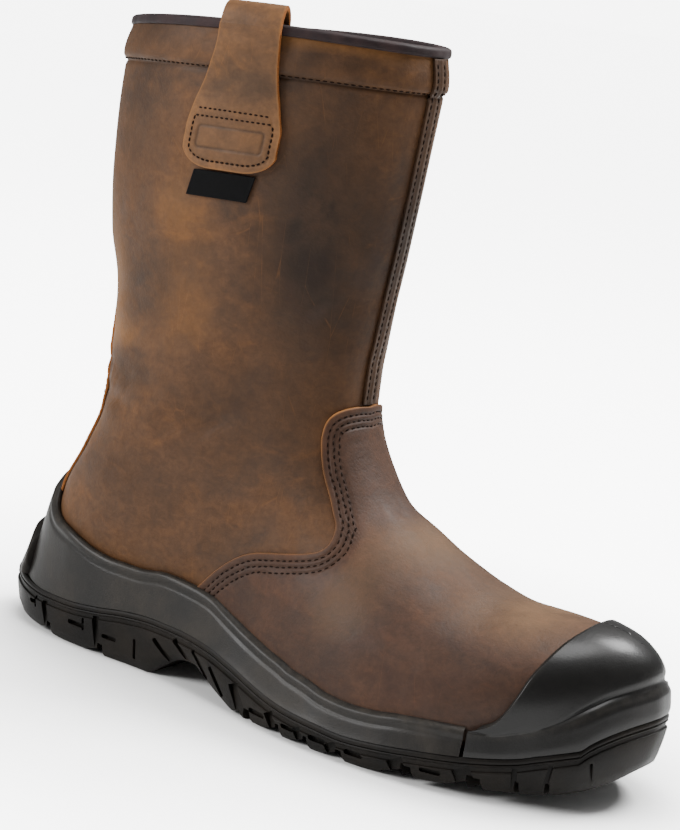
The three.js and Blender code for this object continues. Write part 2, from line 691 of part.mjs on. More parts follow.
// The strap's middle line, from the patch's lower end over the rim and down inside: up
// from the rim as a share of the patch's drop, out from the leather as a share of the
// strap's thickness; its width and its shift to the front as shares of the patch's width
const strapRows = named(['up', 'out', 'width', 'shift'], [
  [-1, 0.5, 0.52, -0.03], [-0.975, 0.5, 0.78, -0.03], [-0.93, 0.5, 0.95, -0.03],
  [-0.85, 0.5, 1.04, -0.03], [-0.72, 0.5, 1.04, -0.01], [-0.56, 0.5, 0.94, 0.01],
  [-0.4, 0.5, 0.79, 0.04], [-0.24, 0.5, 0.69, 0.07],
  [-0.15, 0.64, 0.66, 0.08], [-0.08, 1.05, 0.65, 0.08], [-0.01, 1.36, 0.64, 0.08],
  [0.05, 1.09, 0.64, 0.08], [0.11, 0.27, 0.64, 0.08], [0.128, -0.68, 0.64, 0.08],
  [0.11, -1.73, 0.64, 0.08], [0.05, -2.77, 0.64, 0.08], [-0.02, -3.23, 0.63, 0.08],
  [-0.1, -3.14, 0.63, 0.08], [-0.19, -2.7, 0.62, 0.07], [-0.44, -2.54, 0.61, 0.05],
]);
const strapAt = 0.346;
const strapColumns = 4;

function rimHeight(x) {
  const { keel, ridge } = sectionAt(lastSection);
  const share = (x - keel.x) / (ridge.x - keel.x);
  const arch = collarArch * (1 - (2 * share - 1) ** 2);
  return keel.y + (ridge.y - keel.y) * share + arch;
}
function surfacePoint(x, drop, out) {
  const z = rimHeight(x) - drop;
  const point = new THREE.Vector3(x, -formReach(x, Math.min(z, rimHeight(x) - 1), -1), z);
  const away = outwardAt(x, Math.min(z, rimHeight(x) - 2), -1);
  return point.addScaledVector(away, out + padAt(drop));
}

function strapSolid() {
  const half = strapThickness / 2;
  const path = strapRows.map((row) => ({
    ...row, up: row.up * patchDrop, out: clearance + row.out * strapThickness,
  }));
  const rings = path.map((row, i) => {
    const before = path[Math.max(i - 1, 0)];
    const after = path[Math.min(i + 1, path.length - 1)];
    const along = new THREE.Vector2(after.out - before.out, after.up - before.up).normalize();
    const place = (share, face) => {
      const x = strapAt * soleLength + (share * row.width / 2 + row.shift) * patchWidth;
      const out = row.out + along.y * half * face;
      const up = row.up - along.x * half * face;
      return surfacePoint(x, Math.max(-up, 0), out).add(new THREE.Vector3(0, 0, Math.max(up, 0)));
    };
    const shares = [];
    for (let c = 0; c <= strapColumns; c += 1) shares.push(2 * c / strapColumns - 1);
    return [
      ...shares.map((share) => place(share, 1)),
      ...shares.reverse().map((share) => place(share, -1)),
    ];
  });
  return solid(loft(rings)).subtract(grownWall);
}

function labelSolid() {
  const rings = [0, 1].map((row) => {
    const drop = patchDrop + 1 + row * labelHeight;
    const place = (share, out) => surfacePoint(
      strapAt * soleLength - 2 - 3 * row + share * labelWidth,
      drop,
      out,
    );
    const shares = [-0.5, -0.25, 0, 0.25, 0.5];
    return [
      ...shares.map((share) => place(share, clearance + labelThickness)),
      ...shares.reverse().map((share) => place(share, clearance)),
    ];
  });
  return solid(loft(rings));
}

function finish(name, body, color, roughness) {
  const made = body.getMesh();
  const geometry = new THREE.BufferGeometry();
  geometry.setAttribute('position', new THREE.Float32BufferAttribute(made.vertProperties, 3));
  geometry.setIndex(Array.from(made.triVerts));
  geometry.computeVertexNormals();
  const material = new THREE.MeshStandardMaterial({ color, roughness, metalness: 0 });
  const mesh = new THREE.Mesh(geometry, material);
  mesh.name = name;
  return mesh;
}

const boot = new THREE.Group();
boot.add(finish('upper', upperSolid(), 0x6f5647, 0.6));
boot.add(finish('vamp', vampSolid(), 0x73574a, 0.6));
boot.add(finish('insole', insoleSolid(), 0x3a3836, 0.9));
boot.add(finish('midsole', midsoleSolid(), 0x2f2d2b, 0.55));
boot.add(finish('toe_cap', toeCapSolid(), 0x2c2a28, 0.4));
boot.add(finish('outsole', outsoleSolid(), 0x262422, 0.6));
boot.add(finish('collar_binding', bindingSolid(), 0x3a2f30, 0.8));
boot.add(finish('front_seam', frontSeamSolid(), 0x5c4536, 0.6));
boot.add(finish('back_strip', backStripSolid(), 0x8a5f3a, 0.6));
boot.add(finish('pull_strap', strapSolid(), 0x85613f, 0.6));
boot.add(finish('side_label', labelSolid(), 0x141414, 0.8));
boot.position.x = -heelRestAt * soleLength;

export default boot;
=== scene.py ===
import math
from bisect import bisect_right
from functools import lru_cache

import bmesh
import bpy
from mathutils import Matrix, Vector
from mathutils.bvhtree import BVHTree
from mathutils.kdtree import KDTree


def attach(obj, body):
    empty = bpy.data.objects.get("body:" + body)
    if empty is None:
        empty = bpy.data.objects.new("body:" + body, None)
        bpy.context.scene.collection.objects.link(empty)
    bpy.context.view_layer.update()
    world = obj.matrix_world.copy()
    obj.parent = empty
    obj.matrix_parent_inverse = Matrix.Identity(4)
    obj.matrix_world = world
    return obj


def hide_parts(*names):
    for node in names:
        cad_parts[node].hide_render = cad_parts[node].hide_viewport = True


mm = 0.001

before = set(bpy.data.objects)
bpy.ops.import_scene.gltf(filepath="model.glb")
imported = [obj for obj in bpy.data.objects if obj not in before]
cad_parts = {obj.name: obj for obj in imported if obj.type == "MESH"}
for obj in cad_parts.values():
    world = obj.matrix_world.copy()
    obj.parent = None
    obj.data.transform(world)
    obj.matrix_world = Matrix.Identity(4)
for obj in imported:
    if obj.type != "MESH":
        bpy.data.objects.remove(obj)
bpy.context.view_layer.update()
print("frame loaded")

# The boot is worked out in millimetres, as in the solids' source: x from the back of the
# sole to the toe, y to the inner side of the foot, z up. toBlender turns that to metres.
boot = {
    "soleLength": 320, "ballWidth": 108, "heelHeight": 28, "instepHeight": 142,
    "shaftRise": 143, "wall": 2.4, "vampThickness": 1.6, "gap": 0.3, "rubberRim": 3,
    "capThickness": 2.6, "insoleThickness": 5, "heelRestAt": 0.23, "collarArch": 3,
    "padHeight": 18, "padBulge": 1.7,
}
soleLength = boot["soleLength"]
ballWidth = boot["ballWidth"]


def toBlender(point):
    return Vector((point[0] - boot["heelRestAt"] * soleLength, point[1], point[2])) * mm


def toTable(spot):
    return Vector((spot.x * 1000 + boot["heelRestAt"] * soleLength, spot.y * 1000, spot.z * 1000))


# Heights run through four landmarks: 0 floor, 1 heel seat, 2 instep, 3 collar
def level(value):
    if value <= 1:
        return value * boot["heelHeight"]
    if value <= 2:
        return boot["heelHeight"] + (value - 1) * (boot["instepHeight"] - boot["heelHeight"])
    return boot["instepHeight"] + (value - 2) * boot["shaftRise"]


# A curve through the points that never overshoots them
def curve(points):
    xs = [p[0] for p in points]
    ys = [p[1] for p in points]
    slopes = [(ys[i + 1] - ys[i]) / (xs[i + 1] - xs[i]) for i in range(len(xs) - 1)]
    tangents = [slopes[0]]
    for a, b in zip(slopes, slopes[1:]):
        tangents.append(0 if a * b <= 0 else 2 * a * b / (a + b))
    tangents.append(slopes[-1])

    def at(value):
        value = min(max(value, xs[0]), xs[-1])
        i = min(max(bisect_right(xs, value) - 1, 0), len(xs) - 2)
        width = xs[i + 1] - xs[i]
        t = (value - xs[i]) / width
        rise = t * t * (3 - 2 * t)
        start = t * (1 - t) * (1 - t) * width * tangents[i]
        end = t * t * (t - 1) * width * tangents[i + 1]
        return ys[i] + (ys[i + 1] - ys[i]) * rise + start + end

    return at


def mix(a, b, t):
    return a + (b - a) * t


def ramp(value, low, high):
    t = min(max((value - low) / (high - low), 0), 1)
    return t * t * (3 - 2 * t)


def bump(value, middle, width):
    return math.exp(-(((value - middle) / width) ** 2))


# Narrows a span down to where isBelow stops holding
def search(low, high, steps, isBelow):
    for _ in range(steps):
        middle = (low + high) / 2
        if isBelow(middle):
            low = middle
        else:
            high = middle
    return low, high


# A point at share t between the second and the third of four, on a smooth line through them
def smoothPoint(p0, p1, p2, p3, t):
    return 0.5 * (2 * p1 + (p2 - p0) * t + (2 * p0 - 5 * p1 + 4 * p2 - p3) * t ** 2
                  + (3 * p1 - p0 - 3 * p2 + p3) * t ** 3)


# Side lines of the sole, at shares of its length, as levels
def soleLine(rows):
    line = curve(rows)
    return lambda x: level(line(x / soleLength))


groundLine = soleLine([
    (0, 0.14), (0.03, 0.1), (0.09, 0.06), (0.15, 0), (0.305, 0), (0.33, 0.18),
    (0.355, 0.38), (0.37, 0.43), (0.385, 0.43), (0.41, 0.3), (0.44, 0.14), (0.48, 0),
    (0.69, 0), (0.725, 0.04), (0.785, 0.1), (0.855, 0.16), (0.91, 0.23), (0.96, 0.36),
    (0.985, 0.49), (1, 0.62),
])
seamLine = soleLine([
    (0, 0.85), (0.055, 0.78), (0.11, 0.7), (0.16, 0.71), (0.21, 0.77), (0.26, 0.86),
    (0.315, 0.91), (0.36, 0.905), (0.415, 0.86), (0.465, 0.745), (0.535, 0.54), (0.575, 0.47),
    (0.62, 0.44), (0.66, 0.41), (0.71, 0.45), (0.755, 0.51), (0.82, 0.6), (0.88, 0.72),
    (0.91, 0.84), (0.94, 0.96), (0.96, 1.03), (0.985, 1.08), (1, 1.1),
])
rubberLine = soleLine([
    (0, 1.385), (0.03, 1.375), (0.05, 1.33), (0.075, 1.265), (0.105, 1.22), (0.14, 1.195),
    (0.185, 1.155), (0.225, 1.14), (0.27, 1.14), (0.32, 1.158), (0.37, 1.15), (0.4, 1.138),
    (0.435, 1.1), (0.47, 1.064), (0.51, 1.033), (0.55, 1.006), (0.59, 0.94), (0.62, 0.865),
    (0.66, 0.835), (0.695, 0.855), (0.73, 0.915), (0.795, 0.975), (0.85, 1),
])
creaseLine = soleLine([
    (0.8, 0.96), (0.845, 0.99), (0.885, 1.03), (0.92, 1.075), (0.945, 1.12), (0.96, 1.15),
    (0.975, 1.18), (1, 1.21),
])
bedLine = soleLine([
    (0, 1), (0.21, 1), (0.315, 1.01), (0.36, 1.009), (0.415, 0.975), (0.465, 0.865),
    (0.535, 0.665), (0.62, 0.555), (0.66, 0.535), (0.755, 0.63), (0.82, 0.73), (0.88, 0.86),
    (0.91, 0.98), (0.94, 1.027), (0.96, 1.065), (0.98, 1.1), (1, 1.13),
])

# The sole's outline, from the back of the heel round the outer side to the toe and back
outlineRows = [
    (0.017, 0), (0.024, -0.115), (0.043, -0.208), (0.083, -0.296), (0.148, -0.343),
    (0.216, -0.361), (0.291, -0.366), (0.372, -0.394), (0.434, -0.435), (0.497, -0.481),
    (0.559, -0.519), (0.628, -0.542), (0.722, -0.532), (0.816, -0.477), (0.887, -0.389),
    (0.944, -0.303), (0.979, -0.166), (0.998, -0.019), (1, 0.074), (0.994, 0.163),
    (0.976, 0.241), (0.943, 0.324), (0.887, 0.397), (0.816, 0.435), (0.722, 0.463),
    (0.628, 0.435), (0.559, 0.394), (0.497, 0.352), (0.434, 0.329), (0.372, 0.329),
    (0.291, 0.343), (0.216, 0.352), (0.148, 0.333), (0.083, 0.287), (0.043, 0.203),
    (0.024, 0.115),
]
toeRow = 18


# A smooth closed line through the outline's rows; share 0 is the heel, 0.5 the toe
@lru_cache(maxsize=None)
def outlineAt(share):
    count = len(outlineRows)
    at = (share % 1) * 2
    row = at * toeRow if at <= 1 else toeRow + (at - 1) * (count - toeRow)
    i = int(row)
    t = row - i
    p0, p1, p2, p3 = (
        Vector((outlineRows[(i + k) % count][0] * soleLength,
                outlineRows[(i + k) % count][1] * ballWidth))
        for k in (-1, 0, 1, 2)
    )
    point = smoothPoint(p0, p1, p2, p3, t)
    along = 0.5 * ((p2 - p0) + 2 * (2 * p0 - 5 * p1 + 4 * p2 - p3) * t
                   + 3 * (3 * p1 - p0 - 3 * p2 + p3) * t ** 2)
    out = Vector((along.y, -along.x)).normalized()
    if out.x * (point.x - soleLength / 2) + out.y * point.y < 0:
        out = -out
    return point, out


# Sections of the upper in planes through its keel and its ridge, from the toe to the rim:
# keelAt, keelLevel, ridgeAt, ridgeLevel, centre, outer, inner, widest, below, above
sectionRows = [
    (0.979, 1.145, 0.979, 1.154, 0.044, 0.004, 0.004, 0.5, 2.2, 2.2),
    (0.976, 1.092, 0.977, 1.211, 0.044, 0.06, 0.06, 0.45, 2.6, 2.2),
    (0.969, 1.057, 0.971, 1.259, 0.037, 0.106, 0.106, 0.43, 3, 2.2),
    (0.953, 1.015, 0.956, 1.298, 0.023, 0.171, 0.171, 0.42, 3.4, 2.2),
    (0.931, 0.893, 0.933, 1.329, 0.009, 0.236, 0.236, 0.4, 4, 2.2),
    (0.897, 0.732, 0.897, 1.345, 0, 0.31, 0.306, 0.38, 4.4, 2.2),
    (0.847, 0.582, 0.847, 1.349, 0, 0.381, 0.356, 0.36, 5, 2.2),
    (0.784, 0.464, 0.791, 1.346, 0, 0.435, 0.389, 0.34, 5, 2.2),
    (0.716, 0.382, 0.731, 1.384, 0, 0.466, 0.4, 0.32, 5, 2.15),
    (0.647, 0.329, 0.68, 1.453, 0, 0.474, 0.375, 0.3, 5, 2.1),
    (0.578, 0.393, 0.634, 1.521, 0, 0.456, 0.329, 0.28, 4.6, 2.15),
    (0.509, 0.529, 0.595, 1.583, 0, 0.421, 0.287, 0.3, 4.2, 2.2),
    (0.441, 0.696, 0.567, 1.662, 0, 0.38, 0.273, 0.33, 3.8, 2.3),
    (0.366, 0.804, 0.543, 1.759, 0, 0.356, 0.276, 0.36, 3.4, 2.4),
    (0.284, 0.804, 0.526, 1.851, 0, 0.343, 0.294, 0.4, 3, 2.5),
    (0.197, 0.786, 0.519, 1.947, 0, 0.343, 0.319, 0.42, 2.8, 2.5),
    (0.116, 0.796, 0.519, 2.049, 0, 0.347, 0.338, 0.45, 2.6, 2.45),
    (0.069, 1, 0.522, 2.126, 0, 0.352, 0.352, 0.47, 2.45, 2.35),
    (0.057, 1.123, 0.525, 2.203, 0, 0.358, 0.358, 0.49, 2.3, 2.25),
    (0.064, 1.281, 0.5274, 2.26, 0, 0.365, 0.365, 0.499, 2.207, 2.157),
    (0.0927, 1.47, 0.5304, 2.33, 0, 0.373, 0.373, 0.5, 2.101, 2.1),
    (0.1168, 1.71, 0.5338, 2.41, 0, 0.381, 0.381, 0.5, 2.041, 2.041),
    (0.1088, 2.1, 0.5393, 2.57, 0, 0.401, 0.401, 0.5, 2, 2),
    (0.0864, 2.29, 0.5417, 2.655, 0, 0.417, 0.417, 0.5, 2, 2),
    (0.0757, 2.49, 0.5439, 2.735, 0, 0.429, 0.429, 0.5, 2, 2),
    (0.0734, 2.67, 0.5458, 2.805, 0, 0.438, 0.438, 0.5, 2, 2),
    (0.0756, 2.808, 0.547, 2.862, 0, 0.442, 0.442, 0.5, 2, 2),
    (0.082, 2.933, 0.544, 2.989, 0, 0.444, 0.444, 0.5, 2, 2),
]
lastSection = len(sectionRows) - 1
sectionCurves = [
    curve([(i, row[column]) for i, row in enumerate(sectionRows)]) for column in range(10)
]


@lru_cache(maxsize=None)
def sectionAt(place):
    row = [line(place) for line in sectionCurves]
    keel = Vector((row[0] * soleLength, level(row[1])))
    ridge = Vector((row[2] * soleLength, level(row[3])))
    return keel, ridge, row[4] * ballWidth, row[5] * ballWidth, row[6] * ballWidth, *row[7:]


rimKeel, rimRidge = sectionAt(lastSection)[:2]


@lru_cache(maxsize=None)
def depthAt(place):
    keel, ridge = sectionAt(place)[:2]
    return (rimKeel.y + rimRidge.y - keel.y - ridge.y) / 2


padLine = curve([
    (-1, -0.1), (0, -0.1), (0.25, 0.3), (0.55, 0.85), (0.75, 1), (0.88, 0.86), (0.955, 0.2),
    (1, -0.42), (1.045, -0.12), (1.12, 0), (2, 0),
])


def padAt(depth):
    return boot["padBulge"] * padLine(depth / boot["padHeight"])


# A point of the form: around is 0 at the keel, pi at the ridge, and runs round the outer side
def formBase(place, around):
    keel, ridge, centre, outer, inner, widest, below, above = sectionAt(place)
    side = -1 if around <= math.pi else 1
    turn = around if side < 0 else 2 * math.pi - around
    lower = turn < math.pi / 2
    power = 2 / (below if lower else above)
    reach = widest if lower else 1 - widest
    climb = abs(math.cos(turn)) ** power * reach * (-1 if lower else 1)
    half = abs(math.sin(turn)) ** power * (outer if side < 0 else inner)
    flat = keel.lerp(ridge, widest + climb)
    y = centre + side * half
    arch = max(0, 1 - depthAt(place) / (2 * boot["padHeight"])) * boot["collarArch"]
    return Vector((flat.x, y, flat.y + arch * (y / outer) ** 2))


def formPoint(place, around, out=0.0):
    step = 0.02
    near = min(max(place, step), lastSection - step)
    along = formBase(near + step, around) - formBase(near - step, around)
    whole = 2 * math.pi
    across = formBase(near, (around + step) % whole) - formBase(near, (around - step) % whole)
    normal = across.cross(along).normalized()
    return formBase(place, around) + normal * (out + padAt(depthAt(place))), normal


# The place and turn of the form whose side view is at x and z
def formAt(x, z, side):
    def isBefore(middle):
        keel, ridge = sectionAt(middle)[:2]
        return (ridge.x - keel.x) * (z - keel.y) - (ridge.y - keel.y) * (x - keel.x) > 0

    place = sum(search(0.0, float(lastSection), 22, isBefore)) / 2
    keel, ridge, _, _, _, widest, below, above = sectionAt(place)
    line = ridge - keel
    share = min(max((Vector((x, z)) - keel).dot(line) / line.length_squared, 0), 1)
    if share < widest:
        turn = math.acos(min(((widest - share) / widest) ** (below / 2), 1))
    else:
        turn = math.pi - math.acos(min(((share - widest) / (1 - widest)) ** (above / 2), 1))
    return place, turn if side < 0 else 2 * math.pi - turn, share


def formReach(x, z, side):
    place, around, share = formAt(x, z, side)
    if share <= 0 or share >= 1:
        return -1
    return abs(formBase(place, around).y)


# How far in from the outline the form lies, at a height
@lru_cache(maxsize=None)
def distanceToForm(share, z):
    point, out = outlineAt(share)

    def isOutside(middle):
        spot = point - out * middle
        return abs(spot.y) > formReach(spot.x, z, -1 if spot.y < 0 else 1)

    return sum(search(0.0, soleLength / 6, 16, isOutside)) / 2


# A grid whose points are put in place by a rule of u and v; wrap closes it round u
def sheet(columns, rows, place, wrap=False):
    mesh = bmesh.new()
    bmesh.ops.create_grid(mesh, x_segments=columns, y_segments=rows, size=0.5)
    layer = mesh.verts.layers.float.new("wear")
    tints = mesh.verts.layers.float.new("toneAndLight")
    pattern = mesh.loops.layers.uv.new("cloth")
    for face in mesh.faces:
        for loop in face.loops:
            loop[pattern].uv = (loop.vert.co.x + 0.5, loop.vert.co.y + 0.5)
    for vert in mesh.verts:
        u = round((vert.co.x + 0.5) * columns) / columns
        v = round((vert.co.y + 0.5) * rows) / rows
        spot = place(0.0 if wrap and u == 1 else u, v)
        if isinstance(spot, tuple):
            spot, vert[layer], vert[tints] = (*spot, 0)[:3]
        vert.co = toBlender(spot)
    if wrap:
        bmesh.ops.remove_doubles(mesh, verts=mesh.verts, dist=2e-6)
    return mesh


def turnOutward(mesh):
    bmesh.ops.recalc_face_normals(mesh, faces=mesh.faces)
    if mesh.calc_volume(signed=True) < 0:
        bmesh.ops.reverse_faces(mesh, faces=mesh.faces)


# Turns an open sheet so that its faces look away from a point
def faceAway(mesh, point):
    centre = toBlender(point)
    mesh.normal_update()
    facing = sum(
        face.normal.dot(face.calc_center_median() - centre) * face.calc_area()
        for face in mesh.faces
    )
    if facing < 0:
        bmesh.ops.reverse_faces(mesh, faces=mesh.faces)


def meshObject(name, mesh):
    data = bpy.data.meshes.new(name)
    mesh.to_mesh(data)
    mesh.free()
    piece = bpy.data.objects.new(name, data)
    bpy.context.collection.objects.link(piece)
    return piece


def addBevel(piece, width, degrees):
    edges = piece.modifiers.new("edges", "BEVEL")
    edges.width = width * mm
    edges.segments = 2
    edges.limit_method = "ANGLE"
    edges.angle_limit = math.radians(degrees)


# Gives a sheet a thickness, inwards
def addThickness(piece, thickness, rimMaterial=0):
    wall = piece.modifiers.new("thickness", "SOLIDIFY")
    wall.thickness = thickness * mm
    wall.offset = -1
    wall.material_offset_rim = rimMaterial


# A cut strip of leather or cloth; its rim shows the second material, if it has one
def finishStrip(piece, thickness):
    addThickness(piece, thickness, 1)
    addBevel(piece, 0.2, 50)


# Puts a finished mesh in the scene, riding on the boot and standing for its CAD node
def addPiece(name, mesh, materials, node=None, sharp=None):
    piece = meshObject(name, mesh)
    for material in materials:
        piece.data.materials.append(material)
    piece.data.shade_smooth()
    if sharp:
        piece.data.set_sharp_from_angle(angle=math.radians(sharp))
    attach(piece, "root")
    if node:
        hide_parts(node)
    return piece


def treeOf(mesh):
    return BVHTree.FromBMesh(mesh)


# Where a line forwards from behind the heel first meets a surface
def castFromBehind(tree, y, z):
    spot, normal, _, _ = tree.ray_cast(toBlender((-100, y, z)), Vector((1, 0, 0)))
    return spot, normal


# A smooth line through points, cut into equal steps
def evenLine(points, count):
    fine = []
    last = len(points) - 1
    for i in range(last):
        p0, p1, p2, p3 = (points[min(max(i + k, 0), last)] for k in (-1, 0, 1, 2))
        for k in range(12):
            fine.append(smoothPoint(p0, p1, p2, p3, k / 12))
    fine.append(points[-1])
    lengths = [0.0]
    for a, b in zip(fine, fine[1:]):
        lengths.append(lengths[-1] + (b - a).length)
    line = []
    for step in range(count + 1):
        at = lengths[-1] * step / count
        i = min(max(bisect_right(lengths, at) - 1, 0), len(fine) - 2)
        t = (at - lengths[i]) / max(lengths[i + 1] - lengths[i], 1e-9)
        line.append(fine[i].lerp(fine[i + 1], t))
    return line


# Finds the distance to a line, which is first cut into small steps
def nearLine(line):
    steps = evenLine(line, max(int(lengthOf(line) / 0.0004), 2))
    tree = KDTree(len(steps))
    for i, spot in enumerate(steps):
        tree.insert(spot, i)
    tree.balance()
    return tree


def lengthOf(line):
    return sum((b - a).length for a, b in zip(line, line[1:]))


# Threads laid along a line of points and normals, in metres; fill is the half length's share
# of the pitch
thread = {"pitch": 0.0031, "fill": 0.4, "width": 0.00092, "sink": 0.0001}


def sewRow(mesh, points, normals, pitch=None):
    pitch = pitch or thread["pitch"]
    run = 0.0
    due = pitch / 2
    for i in range(len(points) - 1):
        step = (points[i + 1] - points[i]).length
        while step > 0 and due <= run + step:
            t = (due - run) / step
            spot = points[i].lerp(points[i + 1], t)
            up = normals[i].lerp(normals[i + 1], t).normalized()
            along = (points[i + 1] - points[i]).normalized()
            side = up.cross(along).normalized()
            turn = Matrix((along, side, up)).transposed().to_4x4()
            size = Matrix.Diagonal((pitch * thread["fill"], *[thread["width"] / 2] * 2, 1))
            place = Matrix.Translation(spot - up * thread["sink"])
            bmesh.ops.create_uvsphere(mesh, u_segments=6, v_segments=4, radius=1,
                                      matrix=place @ turn @ size)
            due += pitch
        run += step


# Points at a distance inside an edge line, laid back on the surface
def rowInside(line, normals, distance, tree):
    points, ups = [], []
    for i, point in enumerate(line):
        along = line[min(i + 1, len(line) - 1)] - line[max(i - 1, 0)]
        inward = normals[i].cross(along).normalized()
        spot, normal, _, _ = tree.find_nearest(point + inward * distance)
        points.append(spot)
        ups.append(normal)
    return points, ups


# Leather quarters, shaft and padded collar, with the lining as the inner side of the wall.
# Painted shade and light, the leather's tone and the creases lie in the side view
upper = {
    # paler and darker places in the side view: the leather's tone, painted shade on the side away
    # from the lights and painted light on the lit side; x, z, half width, half height, amount
    "shades": [(44, 160, 11, 45, 0.5), (36, 100, 12, 26, 0.2), (150, 200, 18, 70, -0.75),
               (140, 215, 20, 36, -0.35), (112, 236, 18, 14, 0.34), (120, 130, 28, 18, -0.2),
               (146, 284, 34, 8, 0.62),
               (120, 112, 34, 22, -0.3), (58, 128, 18, 8, -0.5), (58, 232, 22, 22, -0.3),
               (98, 160, 18, 40, 0.15), (66, 84, 30, 10, -0.45), (40, 114, 9, 9, -0.35),
               (54, 142, 16, 6, 0.4), (50, 200, 10, 26, -0.25), (84, 205, 14, 12, 0.2)],
    # rows of the mesh: steps in sections over the foot and the shaft, in mm over the collar,
    # where each part ends, and the section that creases start from
    "columns": 132, "footStep": 0.3, "shaftStep": 0.11, "collarStep": 0.6, "innerRows": 64,
    "footEnd": 14, "shaftEnd": 1.35, "collarReach": 1.3, "creasesFrom": 12,
    # side, points from end to end, width, depth
    "creases": [
        (-1, [(38, 128), (52, 124), (66, 125)], 3.2, 0.7),
        (-1, [(36, 119), (50, 113), (70, 112)], 3.6, 0.6),
        (-1, [(120, 118), (108, 112), (92, 112)], 4.5, 0.6),
        (1, [(40, 126), (60, 121), (80, 124)], 3.6, 0.7),
        (1, [(130, 132), (112, 121), (94, 119)], 5, 0.8),
    ],
}


# Adds up soft spots: x, z, half width, half height, amount
def spotsAt(x, z, spots):
    return sum(
        amount * math.exp(-(((x - atX) / wide) ** 2) - ((z - atZ) / tall) ** 2)
        for atX, atZ, wide, tall, amount in spots
    )


# Paler and darker places, as a tint from -1 to 1
# In the upper and the vamp the spots hold painted shade and painted highlight as well as the
# leather's own tone
def shadeAt(x, z, shades):
    return min(max(spotsAt(x, z, shades), -0.9), 0.9)


def creaseDepth(x, z, side, creases):
    depth = 0.0
    for at, points, width, most in creases:
        if at != side:
            continue
        for a, b in zip(points, points[1:]):
            a, b = Vector(a), Vector(b)
            along = b - a
            t = min(max((Vector((x, z)) - a).dot(along) / along.length_squared, 0), 1)
            away = Vector((x, z)) - a.lerp(b, t)
            if away.length < 4 * width:
                lift = bump(away.length, 0, width) - 0.7 * bump(away.length, 1.9 * width, width)
                depth = max(depth, most * lift, key=abs)
    return depth


def upperPlaces():
    places = [0.0]
    while places[-1] < upper["footEnd"]:
        places.append(places[-1] + upper["footStep"])
    while places[-1] < lastSection - upper["shaftEnd"]:
        places.append(places[-1] + upper["shaftStep"])
    span = depthAt(lastSection - 1)
    depth = upper["collarReach"] * boot["padHeight"]
    while depth > 0:
        places.append(lastSection - depth / span)
        depth -= upper["collarStep"]
    places = sorted(p for p in places if p < lastSection)
    return places + [lastSection]


def buildUpper(leather, lining):
    outer = upperPlaces()
    inner = [lastSection * (1 - i / upper["innerRows"]) for i in range(upper["innerRows"] + 1)]
    rows = [(place, 0.0) for place in outer] + [(place, -boot["wall"]) for place in inner]

    def place(u, v):
        at, out = rows[round(v * (len(rows) - 1))]
        around = 2 * math.pi * u
        point, normal = formPoint(at, around, out)
        if out == 0 and upper["creasesFrom"] < at < lastSection - 1:
            side = -1 if around < math.pi else 1
            point -= normal * creaseDepth(point.x, point.z, side, upper["creases"])
        wear = 0.12 * bump(depthAt(at), 0.75 * boot["padHeight"], 3) if out == 0 else 0
        shade = shadeAt(point.x, point.z, upper["shades"])
        # Painted shade darkens the crease under the padded band
        return point, wear, shade - 0.25 * bump(depthAt(at), boot["padHeight"], 1)

    mesh = sheet(upper["columns"], len(rows) - 1, place, wrap=True)
    turnOutward(mesh)
    split = (len(outer) - 0.5) / (len(rows) - 1)
    pattern = mesh.loops.layers.uv.active
    for face in mesh.faces:
        middle = sum(loop[pattern].uv.y for loop in face.loops) / len(face.loops)
        face.material_index = 1 if middle > split else 0
    tree = treeOf(mesh)
    addPiece("shaftLeather", mesh, [leather, lining], "upper")
    print("upper made")
    return tree


# The front overlay, its edge as shares of the length and levels from the rubber up to the
# ridge of the instep
vamp = {
    "edge": [
        (0.36, 1.085), (0.37, 1.14), (0.38, 1.17), (0.402, 1.24), (0.429, 1.305),
        (0.458, 1.347), (0.504, 1.378), (0.536, 1.4), (0.554, 1.423), (0.561, 1.458),
        (0.558, 1.508), (0.548, 1.549), (0.534, 1.609), (0.52, 1.668), (0.509, 1.731),
        (0.502, 1.796), (0.501, 1.852), (0.505, 1.885), (0.5125, 1.908), (0.5225, 1.9215),
    ],
    "edgeSteps": 110, "longRows": 56, "bandRows": 24, "band": 0.06,
    "seams": [3.0, 5.6, 8.2], "seamWidth": 0.65, "seamDepth": 0.5,
    # paler and darker places in the side view: a painted sheen over the instep, painted shade
    # beside it and the leather's tone; x, z, half width, half height, amount
    "shades": [(226, 92, 26, 12, 0.5), (196, 112, 12, 16, -0.55), (262, 70, 22, 8, 0.3),
               (238, 40, 34, 10, -0.3), (196, 60, 14, 22, 0.15)],
    # soft dents and swells, by side: x, z, half width, half height, depth
    "dents": {
        -1: [(214, 70, 9, 16, 0.8), (196, 96, 12, 9, 0.5), (236, 62, 14, 12, -0.4)],
        1: [(214, 70, 9, 16, 0.8), (190, 94, 12, 9, 0.6)],
    },
}


def lowTurn(place):
    keel, ridge, _, _, _, widest, below, _ = sectionAt(place)
    height = min(rubberLine(keel.x), seamLine(keel.x) + 9) - 4
    share = min(max((height - keel.y) / (ridge.y - keel.y), 0.01), widest)
    return math.acos(min(((widest - share) / widest) ** (below / 2), 1))


def vampOut():
    return boot["gap"] + boot["vampThickness"]


